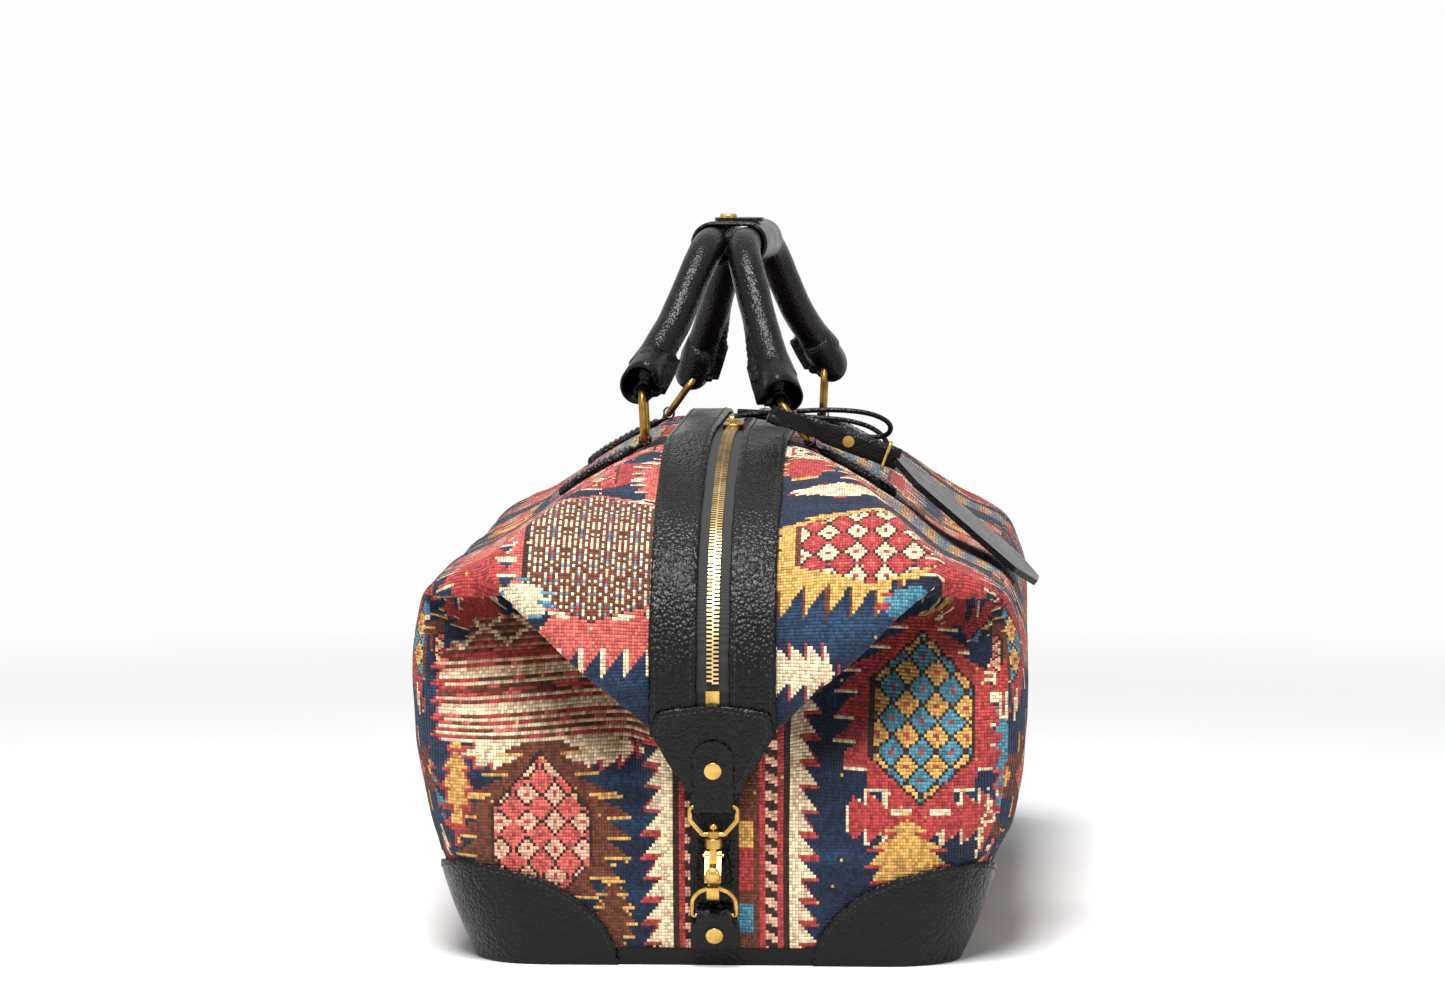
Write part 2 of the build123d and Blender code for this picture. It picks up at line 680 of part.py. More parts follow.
# Ring tabs: leather down the roof from each handle ring, turned round the ring's bar
tab_skin = bag_form(-tab_thickness) - body
pivot_z = roof_z(handle_station, ring_pivot)
ring_round = handle_ring_wire + loop_play + leather
pivot_z += ring_round + 0.1
loop_length = ring_size - 2 * ring_corner - 1
tab_names = {
    "near_left": (1, -1),
    "near_right": (1, 1),
    "far_left": (-1, -1),
    "far_right": (-1, 1),
}
tab_points = [
    (handle_station - loop_length / 2, ring_pivot - ring_round * 0.6),
    (handle_station + loop_length / 2, ring_pivot - ring_round * 0.6),
    (handle_station + loop_length / 2, ring_pivot + 4),
    (handle_station + tab_width / 2, ring_pivot + 14),
    (handle_station + tab_width / 2, ring_pivot + tab_length - 9),
    (handle_station, ring_pivot + tab_length),
    (handle_station - tab_width / 2, ring_pivot + tab_length - 9),
    (handle_station - tab_width / 2, ring_pivot + 14),
    (handle_station - loop_length / 2, ring_pivot + 4),
]
tab_prism = extrude(make_face(Polyline(*tab_points, close=True)), amount=far_out)
tab_roll = Pos(handle_station, ring_pivot, pivot_z) * Rot(0, 90, 0) * Cylinder(ring_round, loop_length)
tab_bore = Rot(0, 90, 0) * Cylinder(handle_ring_wire + loop_play, 60)
tab_bore = Pos(handle_station, ring_pivot, pivot_z) * tab_bore
ring_tab = ((tab_skin & tab_prism) + (tab_roll - body)) - tab_bore


def to_corner(shape, end, side):
    """Mirror image of a near right piece at another corner of the bag."""
    placed = shape if end > 0 else mirror(shape, Plane.YZ)
    return placed if side > 0 else mirror(placed, Plane.XZ)


for name, (end, side) in tab_names.items():
    keep(f"{name}_ring_tab", to_corner(ring_tab, end, side))

# Handle rings: their tops lie closer on one diagonal, because the tied handles sit a little askew
top_shift = handle_station * tan(radians(handle_twist) / 2)
half_size = ring_size / 2
flat_ring = [(-half_size, 0), (half_size, 0), (half_size, ring_size), (-half_size, ring_size)]


def ring_top(end, side):
    """Middle of the ring's top bar."""
    y = side * ring_top_half - end * top_shift
    across = abs(y) - ring_pivot
    return (end * handle_station, y, pivot_z + (ring_size**2 - across**2) ** 0.5)


def handle_ring(end, side, grow=0.0):
    """Ring standing in its tab and leaning in to its handle, with its wire made thicker by grow."""
    path = FilletPolyline(*flat_ring, radius=ring_corner, close=True)
    ring = sweep(Plane(origin=path @ 0, z_dir=path % 0) * Circle(handle_ring_wire + grow), path=path)
    top = ring_top(end, side)
    angle = degrees(atan2(top[2] - pivot_z, top[1] - side * ring_pivot))
    return Pos(end * handle_station, side * ring_pivot, pivot_z) * Rot(angle, 0, 0) * ring


for name, (end, side) in tab_names.items():
    keep(f"{name}_ring", handle_ring(end, side))

# Handles: rolled leather tubes, open and flared at both ends, with a loop round each ring
twist = radians(handle_twist)
sleeve_rise = ring_round + loose_play + 3.0
grip_half = wrap_length / 2 + 20
knee = (87.0, 23.0, 316.0)


def twisted(x, y, z):
    """Point of the handles in their own frame, turned about the upright axis."""
    return (x * cos(twist / 2) + y * sin(twist / 2), y * cos(twist / 2) - x * sin(twist / 2), z)


def handle(side):
    """One handle, from its near ring over the grip to its far ring."""
    near, far = ring_top(1, side), ring_top(-1, side)
    grip_y = side * (handle_radius + handle_gap / 2)
    spots = [
        (near[0] - 1, near[1] - side * 1, near[2] + sleeve_rise),
        twisted(knee[0], side * knee[1], knee[2]),
        twisted(grip_half, grip_y, handle_top),
        twisted(-grip_half, grip_y, handle_top),
        twisted(-knee[0], side * knee[1], knee[2]),
        (far[0] + 1, far[1] - side * 1, far[2] + sleeve_rise),
    ]
    path = FilletPolyline(*spots, radius=[55, 34, 34, 55])
    start = Plane(origin=path @ 0, z_dir=path % 0)
    tube = sweep(start * Circle(handle_radius), path=path)
    pieces = [tube]
    for place, direction, ring_spot in ((0, 1, near), (1, -1, far)):
        heading = (path % place) * direction
        mouth = Plane(origin=path @ place, z_dir=heading)
        flare = loft([mouth * Circle(handle_radius + 1.6), mouth.offset(16) * Circle(handle_radius)])
        pieces.append(flare)
        spot = Vector(*ring_spot)
        seat = Pos(0, 0, -loose_seat) * Pos(*ring_spot) * Rot(0, 90, 0)
        roll = seat * Cylinder(handle_ring_wire + loose_play + leather, loop_length - 1)
        neck_plane = Plane(origin=spot, x_dir=(1, 0, 0), z_dir=(path @ place) - spot)
        reach = ((path @ place) - spot).length + 12
        tongue = extrude(neck_plane * Rectangle(loop_length - 1, 6.4), amount=reach)
        pieces += [roll, tongue]
    solid = pieces[0].fuse(*pieces[1:])
    for place, direction, ring_spot in ((0, 1, near), (1, -1, far)):
        mouth = Plane(origin=path @ place, z_dir=(path % place) * direction).offset(-0.5)
        hollow = Circle(handle_radius - 0.6) - Rectangle(loop_length - 1, 7)
        seat = Pos(0, 0, -loose_seat) * Pos(*ring_spot) * Rot(0, 90, 0)
        bore = seat * Cylinder(handle_ring_wire + loose_play, 60)
        solid = solid - extrude(mouth * hollow, amount=9) - bore
    return solid


keep("left_handle", handle(-1))
keep("right_handle", handle(1))

# Wrap: a leather sleeve round both grips, with its end strap and snap on top
wrap_inner_y = 2 * handle_radius + handle_gap / 2 + rest_gap
wrap_inner_z = handle_radius + rest_gap
grip_z = handle_top


def oval(grow):
    """Rounded outline of the wrap's section, in Y and Z."""
    return RectangleRounded(2 * (wrap_inner_y + grow), 2 * (wrap_inner_z + grow), wrap_inner_z + grow - 0.1)


sleeve = extrude(Plane.YZ * (oval(wrap_thickness) - oval(0.6)), amount=wrap_length / 2, both=True)
wrap_place = Pos(0, 0, grip_z) * Rot(0, 0, -handle_twist / 2)
keep("handle_wrap", wrap_place * sleeve)
wrap_top = wrap_inner_z + wrap_thickness
strap_end = Pos(14, 3, wrap_top) * extrude(RectangleRounded(20, 26, 8), amount=leather)
keep("wrap_strap_end", wrap_place * strap_end)
cap = Cylinder(snap_radius, 2.0)
cap = fillet(cap.edges().group_by(Axis.Z)[-1], 1.0)
keep("wrap_snap", wrap_place * Pos(14, -3, wrap_top + leather + 1.0) * cap)

# Luggage tag: a strap round the near right ring, a buckle and a stiff leather panel
top = ring_top(1, 1)
bar_y = (ring_pivot + top[1]) / 2
bar_z = (pivot_z + top[2]) / 2
strap_dir = Vector(0, cos(radians(tag_strap_slope)), -sin(radians(tag_strap_slope)))
strap_up = Vector(0, sin(radians(tag_strap_slope)), cos(radians(tag_strap_slope)))
strap_x = handle_station + half_size
turn_half = handle_ring_wire + 0.6
strap_origin = Vector(strap_x, bar_y, bar_z) - strap_dir * tag_strap_back
strap_plane = Plane(origin=strap_origin, x_dir=strap_dir, z_dir=strap_up)
strap_half = turn_half + tag_leather
wide_end, close_end = 2.2 * tag_strap_back, 3.6 * tag_strap_back
outline = Polyline((0, -strap_half), (wide_end, -strap_half), (close_end, -tag_leather),
                   (tag_strap_length, -tag_leather), (tag_strap_length, tag_leather),
                   (close_end, tag_leather), (wide_end, strap_half), (0, strap_half), close=True)
void = Polyline((0, -turn_half), (wide_end, -turn_half), (close_end - 1, -0.01), (close_end - 1, 0.01),
                (wide_end, turn_half), (0, turn_half), close=True)
strap_face = (make_face(outline) + Circle(strap_half)) - (make_face(void) + Circle(turn_half))
tag_strap = extrude(strap_plane * strap_face, amount=tag_strap_width / 2, both=True)
tag_strap -= handle_ring(1, 1, tag_play)
keep("tag_strap", tag_strap)
frame_spot = strap_origin + strap_dir * (tag_strap_length - 7)
frame_plane = Plane(origin=frame_spot, x_dir=(1, 0, 0), z_dir=strap_dir)
frame_y = tag_strap_width / 2 + 1.0 + rest_gap
frame_x = tag_leather + 1.0 + rest_gap
frame_points = [(-frame_x, -frame_y), (frame_x, -frame_y), (frame_x, frame_y), (-frame_x, frame_y)]
path = FilletPolyline(*frame_points, radius=1.5, close=True)
frame = sweep(Plane(origin=path @ 0, z_dir=path % 0) * Circle(0.95), path=path)
keep("tag_buckle", frame_plane.location * frame)
rivet_plane = Plane(origin=strap_origin + strap_dir * (close_end + 4), x_dir=strap_dir, z_dir=(1, 0, 0))
keep("tag_rivet", rivet_plane.offset(tag_leather + 0.5).location * Cylinder(3.0, 1.0))

tag_dir = Vector(0, cos(radians(tag_slope)), -sin(radians(tag_slope)))
tag_up = Vector(0, sin(radians(tag_slope)), cos(radians(tag_slope)))
tag_start = strap_origin + strap_dir * (tag_strap_length - 2)
tag_half = tag_width / 2
tag_outline = Polyline((0, -10), (16, -tag_half), (tag_length - 14, -tag_half), (tag_length, -tag_half + 18),
                       (tag_length, tag_half - 18), (tag_length - 14, tag_half), (16, tag_half), (0, 10),
                       close=True)
tag_plane = Plane(origin=tag_start, x_dir=tag_dir, z_dir=tag_up)
panel = extrude(make_face(tag_outline), amount=tag_thickness / 2, both=True)
panel = tag_plane.location * Rot(tag_twist, 0, 0) * panel
keep("luggage_tag", panel - tag_strap)

for name, shape in parts.items():
    export_step(shape, f"parts/{name}.step")
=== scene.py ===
import json
from math import atan2, cos, pi, radians, sin

import bmesh
import bpy
from mathutils import Matrix, Vector, noise
from mathutils.bvhtree import BVHTree
from mathutils.kdtree import KDTree

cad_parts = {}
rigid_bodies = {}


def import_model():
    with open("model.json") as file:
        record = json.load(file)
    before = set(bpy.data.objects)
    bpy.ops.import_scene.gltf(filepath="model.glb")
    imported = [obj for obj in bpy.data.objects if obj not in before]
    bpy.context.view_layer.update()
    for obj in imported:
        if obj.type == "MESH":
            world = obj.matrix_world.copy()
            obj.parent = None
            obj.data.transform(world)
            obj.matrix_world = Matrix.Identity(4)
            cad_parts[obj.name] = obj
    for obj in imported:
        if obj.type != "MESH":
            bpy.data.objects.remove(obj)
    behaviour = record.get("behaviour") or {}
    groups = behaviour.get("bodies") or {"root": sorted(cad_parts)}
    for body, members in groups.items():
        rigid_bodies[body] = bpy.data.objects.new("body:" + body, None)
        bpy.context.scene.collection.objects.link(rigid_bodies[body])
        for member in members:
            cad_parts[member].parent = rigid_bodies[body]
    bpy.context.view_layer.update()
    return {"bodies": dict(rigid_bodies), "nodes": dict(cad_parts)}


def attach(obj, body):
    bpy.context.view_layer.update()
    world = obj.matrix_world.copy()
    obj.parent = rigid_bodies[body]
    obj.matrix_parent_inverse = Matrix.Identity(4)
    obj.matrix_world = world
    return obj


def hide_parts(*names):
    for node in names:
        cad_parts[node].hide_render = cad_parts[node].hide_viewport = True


# Weekender bag of knotted carpet with black pebbled leather, brass hardware and rolled handles.
# Metres. X runs along the bag, Y across it, Z up; the origin is under the middle of the base.

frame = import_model()
nodes = frame["nodes"]
bpy.ops.object.select_all(action="DESELECT")
scene = bpy.context.scene
MM = 0.001

# Camera: a long lens, nearly level with the bag's shoulders, looking at its near end
FOCAL = 150.0
EYE = Vector((3.246, 0.148, 0.470))
YAW = radians(2.75)
PITCH = radians(4.4)

camera_data = bpy.data.cameras.new("camera")
camera_data.lens = FOCAL
camera_data.sensor_width = 36.0
camera_data.clip_start = 0.05
camera_data.clip_end = 60.0
camera = bpy.data.objects.new("camera", camera_data)
scene.collection.objects.link(camera)
gaze = Vector((-cos(YAW) * cos(PITCH), -sin(YAW) * cos(PITCH), -sin(PITCH)))
camera.location = EYE
camera.rotation_mode = "QUATERNION"
camera.rotation_quaternion = gaze.to_track_quat("-Z", "Y")
scene.camera = camera
scene.view_settings.view_transform = "Standard"


# Small tools for materials
def linear(code):
    """An sRGB hex colour as linear red, green, blue and alpha."""
    shares = [int(code[i:i + 2], 16) / 255 for i in (1, 3, 5)]
    return [c / 12.92 if c <= 0.04045 else ((c + 0.055) / 1.055) ** 2.4 for c in shares] + [1.0]


def add(tree, kind, *values, out=0, feed=None, stops=None, blend="LINEAR", **settings):
    """Adds one node with its settings, feeds its inputs by place or name, and gives one output."""
    made = tree.nodes.new("ShaderNode" + kind)
    for key, value in settings.items():
        setattr(made, key, value)
    for key, value in [*enumerate(values), *(feed or {}).items()]:
        if isinstance(value, bpy.types.NodeSocket):
            tree.links.new(value, made.inputs[key])
        elif value is not None:
            made.inputs[key].default_value = linear(value) if isinstance(value, str) else value
    if stops:
        ramp = made.color_ramp
        ramp.interpolation = blend
        while len(ramp.elements) < len(stops):
            ramp.elements.new(1.0)
        for element, (spot, code) in zip(ramp.elements, stops):
            element.position = spot
            element.color = linear(code)
    return made.outputs[out] if made.outputs else None


def blank(name):
    """A new material with an empty node tree."""
    material = bpy.data.materials.new(name)
    material.use_nodes = True
    material.node_tree.nodes.clear()
    return material, material.node_tree


def finish_surface(tree, colour, roughness, normal=None, **constants):
    """A Principled surface: colour, roughness and normal may be fed, the rest is constant."""
    feed = {"Base Color": colour, "Roughness": roughness}
    if normal is not None:
        feed["Normal"] = normal
    for key, value in constants.items():
        feed[key.replace("_", " ")] = value
    surface = add(tree, "BsdfPrincipled", feed=feed)
    add(tree, "OutputMaterial", surface)


# Yarn colours of the carpet: plant dyes, so each is a little dull and uneven
NAVY = "#1a2840"
DEEP = "#131927"
BLUE = "#21405c"
TEAL = "#4a8296"
RED = "#a93c3a"
ROSE = "#c55c52"
PINK = "#dba78c"
CREAM = "#e4cca6"
GOLD = "#d09e55"
BROWN = "#653626"
DARK = "#33221c"

# Knots are drawn a fifth larger than real ones, so that they show
KNOT = (1.5, 1.7)
PANEL_TOP = 1000.0
WING_LIMIT = 1250.0
WALL_START = 150.0
END_LIMIT = 600.0
OUTLINE = 2.0
CORE_LINE = 1.7


def new_group(name, wanted, given):
    """An empty node group with its sockets: names and kinds of what goes in and out."""
    group = bpy.data.node_groups.new(name, "ShaderNodeTree")
    for title, kind in wanted:
        group.interface.new_socket(title, in_out="INPUT", socket_type="NodeSocket" + kind)
    for title, kind in given:
        group.interface.new_socket(title, in_out="OUTPUT", socket_type="NodeSocket" + kind)
    source = group.nodes.new("NodeGroupInput")
    sink = group.nodes.new("NodeGroupOutput")
    return group, source.outputs, sink.inputs


def serrated_group():
    """How far in mm a place lies outside a saw-toothed medallion, its outline and its plain core."""
    wanted = [("Place", "Vector"), ("Centre", "Vector"), ("Half", "Vector"), ("Tooth", "Vector")]
    given = [("Rim", "Float"), ("Edge", "Float"), ("Plain", "Float"), ("Local", "Vector")]
    group, source, sink = new_group("serrated medallion", wanted, given)
    local = add(group, "VectorMath", source[0], source[1], operation="SUBTRACT")
    across = add(group, "SeparateXYZ", local, out=0)
    up = add(group, "SeparateXYZ", local, out=1)
    half_across = add(group, "SeparateXYZ", source[2], out=0)
    half_up = add(group, "SeparateXYZ", source[2], out=1)
    flat_share = add(group, "SeparateXYZ", source[2], out=2)
    pitch = add(group, "SeparateXYZ", source[3], out=0)
    depth = add(group, "SeparateXYZ", source[3], out=1)
    beside = add(group, "Math", across, operation="ABSOLUTE")
    above = add(group, "Math", up, operation="ABSOLUTE")
    share = add(group, "Math", above, half_up, operation="DIVIDE")
    past = add(group, "Math", share, flat_share, operation="SUBTRACT")
    past = add(group, "Math", past, 0.0, operation="MAXIMUM")
    rest = add(group, "Math", 1.0, flat_share, operation="SUBTRACT")
    past = add(group, "Math", past, rest, operation="DIVIDE")
    width = add(group, "Math", 1.0, past, operation="SUBTRACT")
    width = add(group, "Math", width, half_across, operation="MULTIPLY")
    plain = add(group, "Math", beside, width, operation="SUBTRACT")
    group.links.new(plain, sink[2])
    group.links.new(local, sink[3])
    for rise, socket in ((0.0, sink[1]), (OUTLINE, sink[0])):
        raised = add(group, "Math", up, rise, operation="ADD")
        turns = add(group, "Math", raised, pitch, operation="DIVIDE")
        saw = add(group, "Math", turns, operation="FRACT")
        saw = add(group, "Math", 1.0, saw, operation="SUBTRACT")
        saw = add(group, "Math", saw, depth, operation="MULTIPLY")
        saw = add(group, "Math", saw, rise, operation="ADD")
        edge = add(group, "Math", plain, saw, operation="SUBTRACT")
        group.links.new(edge, socket)
    return group


def floret_group():
    """Alternate florets of a lattice: 0 at one kind's middle, 1 at the other's."""
    wanted = [("Local", "Vector"), ("Cell", "Vector")]
    group, source, sink = new_group("floret lattice", wanted, [("Ring", "Float")])
    turns = add(group, "VectorMath", source[0], source[1], operation="DIVIDE")
    part = add(group, "VectorMath", turns, operation="FRACTION")
    part = add(group, "VectorMath", part, (0.5, 0.5, 0.5), operation="SUBTRACT")
    part = add(group, "VectorMath", part, operation="ABSOLUTE")
    across = add(group, "SeparateXYZ", part, out=0)
    up = add(group, "SeparateXYZ", part, out=1)
    ring = add(group, "Math", across, up, operation="ADD")
    group.links.new(ring, sink[0])
    return group


SERRATED = serrated_group()
FLORETS = floret_group()


def motif(tree, place, below, centre, half, tooth, colours, lattice=None, lines=None):
    """Draws one saw-toothed medallion over the colour below: outline, fill, and a lattice core."""
    shape = {0: place, 1: (*centre, 0), 2: half, 3: (*tooth, 0)}
    shape = add(tree, "Group", node_tree=SERRATED, feed=shape)
    rim, edge, plain, local = shape.node.outputs
    outline, fill = colours
    filled = add(tree, "Math", edge, 0.0, operation="LESS_THAN")
    drawn = add(tree, "Mix", filled, data_type="RGBA", feed={6: outline, 7: fill}, out=2)
    if lattice:
        florets, cell, margin, core_line = lattice
        band = add(tree, "Math", plain, CORE_LINE - margin, operation="LESS_THAN")
        drawn = add(tree, "Mix", band, data_type="RGBA", feed={6: drawn, 7: core_line}, out=2)
        ring = add(tree, "Group", local, (*cell, 1), node_tree=FLORETS)
        inner = add(tree, "Math", plain, -margin, operation="LESS_THAN")
        flowers = add(tree, "ValToRGB", ring, stops=florets, blend="CONSTANT")
        if lines:
            axis, pitch, share, code = lines
            line = add(tree, "SeparateXYZ", place, out=axis)
            line = add(tree, "Math", line, pitch, operation="DIVIDE")
            line = add(tree, "Math", line, operation="FRACT")
            line = add(tree, "Math", line, share, operation="LESS_THAN")
            flowers = add(tree, "Mix", line, data_type="RGBA", feed={6: flowers, 7: code}, out=2)
        drawn = add(tree, "Mix", inner, data_type="RGBA", feed={6: drawn, 7: flowers}, out=2)
    inside = add(tree, "Math", rim, 0.0, operation="LESS_THAN")
    return add(tree, "Mix", inside, data_type="RGBA", feed={6: below, 7: drawn}, out=2)


# Lattices inside the medallions, from one kind of floret's middle to the other's
GOLD_TEAL = [(0.0, RED), (0.11, GOLD), (0.43, DARK), (0.53, TEAL), (0.88, RED)]
ROSE_PINK = [(0.0, RED), (0.10, PINK), (0.40, DARK), (0.50, ROSE), (0.90, RED)]
WHITE_TEAL = [(0.0, RED), (0.10, TEAL), (0.26, CREAM), (0.46, BROWN), (0.62, CREAM), (0.86, TEAL)]
CREAM_RED = [(0.0, RED), (0.11, CREAM), (0.40, DARK), (0.50, RED), (0.86, ROSE)]
BROWN_CREAM = [(0.0, RED), (0.16, BROWN), (0.40, CREAM), (0.80, DARK)]

# Motifs of the end panels: centre, half size with its straight share, teeth, outline and fill, core
UPRIGHT_END = [
    ((103, 124), (33, 48, 0.36), (11.0, 11.0), (CREAM, RED), (GOLD_TEAL, (15.0, 14.6), 8.0, DARK)),
    ((-88, 66), (31, 50, 0.26), (10.5, 13.0), (GOLD, BROWN), (ROSE_PINK, (14.0, 14.0), 7.0, DARK)),
    ((96, 52), (12, 20, 0.30), (8.5, 8.0), (RED, GOLD), None),
    ((137, 56), (3, 17, 0.30), (9.0, 3.0), (CREAM, RED), None),
    ((-131, 90), (3, 18, 0.30), (10.0, 4.0), (RED, GOLD), None),
    ((-146, 62), (4, 30, 0.60), (9.5, 5.0), (RED, TEAL), None),
    ((147, 100), (3, 40, 0.70), (9.5, 4.0), (RED, TEAL), None),
    ((144, 160), (3, 22, 0.60), (11.0, 5.0), (CREAM, RED), None),
    ((-52, 22), (5, 16, 0.30), (7.5, 6.0), (GOLD, BROWN), None),
    ((100, 196), (14, 10, 0.30), (8.0, 9.0), (GOLD, BROWN), None),
]
# The same with teeth that point up and down: their places are given as height, then width
TURNED_END = [
    ((76, 105), (5, 38, 0.94), (9.5, 8.0), (CREAM, RED), None),
    ((108, -84), (4, 40, 0.80), (9.0, 5.0), (RED, CREAM), None),
]
# Motifs of the side panels where they run out over the near end's wings
UPRIGHT_WING = [
    ((-66, 1101), (40, 45, 0.70), (10.0, 8.0), (CREAM, ROSE), (WHITE_TEAL, (15.0, 15.0), 4.0, DARK),
     (0, 3.0, 0.5, BROWN)),
    ((-104, 1176), (52, 30, 0.45), (10.5, 12.0), (CREAM, RED), (ROSE_PINK, (14.0, 13.0), 7.0, BROWN)),
    ((84, 1102), (46, 27, 0.50), (11.0, 11.0), (GOLD, GOLD), (CREAM_RED, (15.5, 14.0), 7.0, BROWN)),
    ((66, 1150), (22, 7, 0.40), (7.0, 6.0), (RED, CREAM), None),
    ((122, 1176), (46, 28, 0.45), (11.0, 11.0), (CREAM, ROSE), (GOLD_TEAL, (14.0, 13.0), 8.0, BROWN)),
    ((-130, 1090), (10, 24, 0.50), (9.0, 11.0), (CREAM, RED), None),
    ((-104, 1066), (9, 9, 0.50), (6.5, 8.0), (TEAL, CREAM), None),
    ((-134, 1136), (8, 18, 0.50), (8.0, 9.0), (GOLD, ROSE), None),
    ((134, 1092), (9, 24, 0.50), (9.5, 11.0), (CREAM, RED), None),
    ((108, 1066), (12, 8, 0.50), (6.5, 8.0), (RED, TEAL), None),
    ((-34, 1168), (7, 24, 0.50), (8.0, 8.0), (CREAM, ROSE), None),
    ((46, 1184), (9, 16, 0.50), (8.0, 8.0), (GOLD, RED), None),
    ((-66, 1222), (30, 20, 0.40), (9.5, 9.0), (TEAL, ROSE), (ROSE_PINK, (13.0, 12.0), 5.0, DARK)),
    ((66, 1214), (34, 22, 0.40), (9.5, 9.0), (RED, CREAM), (BROWN_CREAM, (12.0, 12.0), 6.0, RED)),
]
TURNED_WING = [
    ((1052, -58), (6, 30, 0.90), (12.0, 13.0), (CREAM, ROSE), None),
    ((1034, 42), (4, 20, 0.85), (9.0, 9.0), (RED, CREAM), None),
    ((1084, 62), (6, 34, 0.85), (13.0, 17.0), (BROWN, GOLD), None),
]
# Border beside the end strap, in mm: it is wider on the strap's right
STRIPE_SHIFT = 7.15
STRIPE_SPAN = 60.0
STRIPES = [(0, RED), (0.305, BROWN), (0.357, RED), (0.408, CREAM), (0.507, RED), (0.558, DARK),
           (0.605, CREAM)]
BLOCK_EDGE = 18.3
BLOCK_SPAN = 92.0
BLOCKS = [(0, BROWN), (0.17, TEAL), (0.34, BROWN), (0.42, RED), (0.66, GOLD), (0.8, BROWN)]
GUARD_MIDDLE = 27.4
GUARD_HALF = 3.0
CHECK_SLANT = 0.55
CHECK_PITCH = 9.0
CHECKS = [(0, PINK), (0.52, DARK)]
TOOTH_PITCH = 11.4
TOOTH_DEPTH = 9.0
CREAM_REACH = 50.0
RED_RISE = 2.6
RED_REACH = 52.5


def border_teeth(tree, up, rise, reach):
    """How far out the saw teeth of the border reach at each height."""
    tooth = add(tree, "Math", up, rise, operation="ADD")
    tooth = add(tree, "Math", tooth, TOOTH_PITCH, operation="DIVIDE")
    tooth = add(tree, "Math", tooth, operation="FRACT")
    tooth = add(tree, "Math", tooth, -TOOTH_DEPTH, operation="MULTIPLY")
    return add(tree, "Math", tooth, reach, operation="ADD")


def border(tree, place, below):
    """Guard stripes beside the end strap, wider on its right, with a row of saw teeth outside them."""
    across = add(tree, "SeparateXYZ", place, out=0)
    up = add(tree, "SeparateXYZ", place, out=1)
    beside = add(tree, "Math", across, STRIPE_SHIFT, operation="SUBTRACT")
    beside = add(tree, "Math", beside, operation="ABSOLUTE")
    beside = add(tree, "Math", beside, STRIPE_SHIFT, operation="ADD")
    share = add(tree, "Math", beside, 1 / STRIPE_SPAN, operation="MULTIPLY")
    flat = add(tree, "ValToRGB", share, stops=STRIPES, blend="CONSTANT")
    # Blocks of other colours in the innermost stripe, and slanting checks in the guard stripe
    block = add(tree, "Math", up, 1 / BLOCK_SPAN, operation="MULTIPLY")
    blocks = add(tree, "ValToRGB", block, stops=BLOCKS, blend="CONSTANT")
    in_block = add(tree, "Math", beside, BLOCK_EDGE, operation="LESS_THAN")
    flat = add(tree, "Mix", in_block, data_type="RGBA", feed={6: flat, 7: blocks}, out=2)
    slant = add(tree, "Math", across, CHECK_SLANT, operation="MULTIPLY")
    slant = add(tree, "Math", slant, up, operation="ADD")
    slant = add(tree, "Math", slant, CHECK_PITCH, operation="DIVIDE")
    slant = add(tree, "Math", slant, operation="FRACT")
    checks = add(tree, "ValToRGB", slant, stops=CHECKS, blend="CONSTANT")
    in_guard = add(tree, "Math", beside, GUARD_MIDDLE, GUARD_HALF, operation="COMPARE")
    flat = add(tree, "Mix", in_guard, data_type="RGBA", feed={6: flat, 7: checks}, out=2)
    cream_edge = border_teeth(tree, up, 0.0, CREAM_REACH)
    red_edge = border_teeth(tree, up, RED_RISE, RED_REACH)
    is_red = add(tree, "Math", beside, cream_edge, operation="GREATER_THAN")
    flat = add(tree, "Mix", is_red, data_type="RGBA", feed={6: flat, 7: RED}, out=2)
    inside = add(tree, "Math", beside, red_edge, operation="LESS_THAN")
    low = add(tree, "Math", up, END_LIMIT, operation="LESS_THAN")
    inside = add(tree, "Math", inside, low, operation="MULTIPLY")
    return add(tree, "Mix", inside, data_type="RGBA", feed={6: below, 7: flat}, out=2)


# Striped field on the left of the end panel, in mm: a cream ground with fine red lines
FIELD_CENTRE = (-86, 150, 0)
FIELD_HALF = (52, 44, 0.90)
FIELD_TOOTH = (8.5, 6.0, 0)
FIELD_RIM = -1.0
FIELD_SEAM = 113.0
PETAL_CELL = (22.0, 17.0)
PETAL_START = 157.0
PETAL_WEIGHT = 0.75
PALE_ROWS = [(0, CREAM), (0.50, PINK), (0.56, CREAM), (0.66, PINK)]
DARK_ROWS = [(0, RED), (0.40, BROWN), (0.45, ROSE), (0.53, BROWN), (0.60, RED)]
PETALS = [(0, RED), (0.30, BROWN), (0.46, CREAM), (0.62, DARK), (0.78, BROWN)]


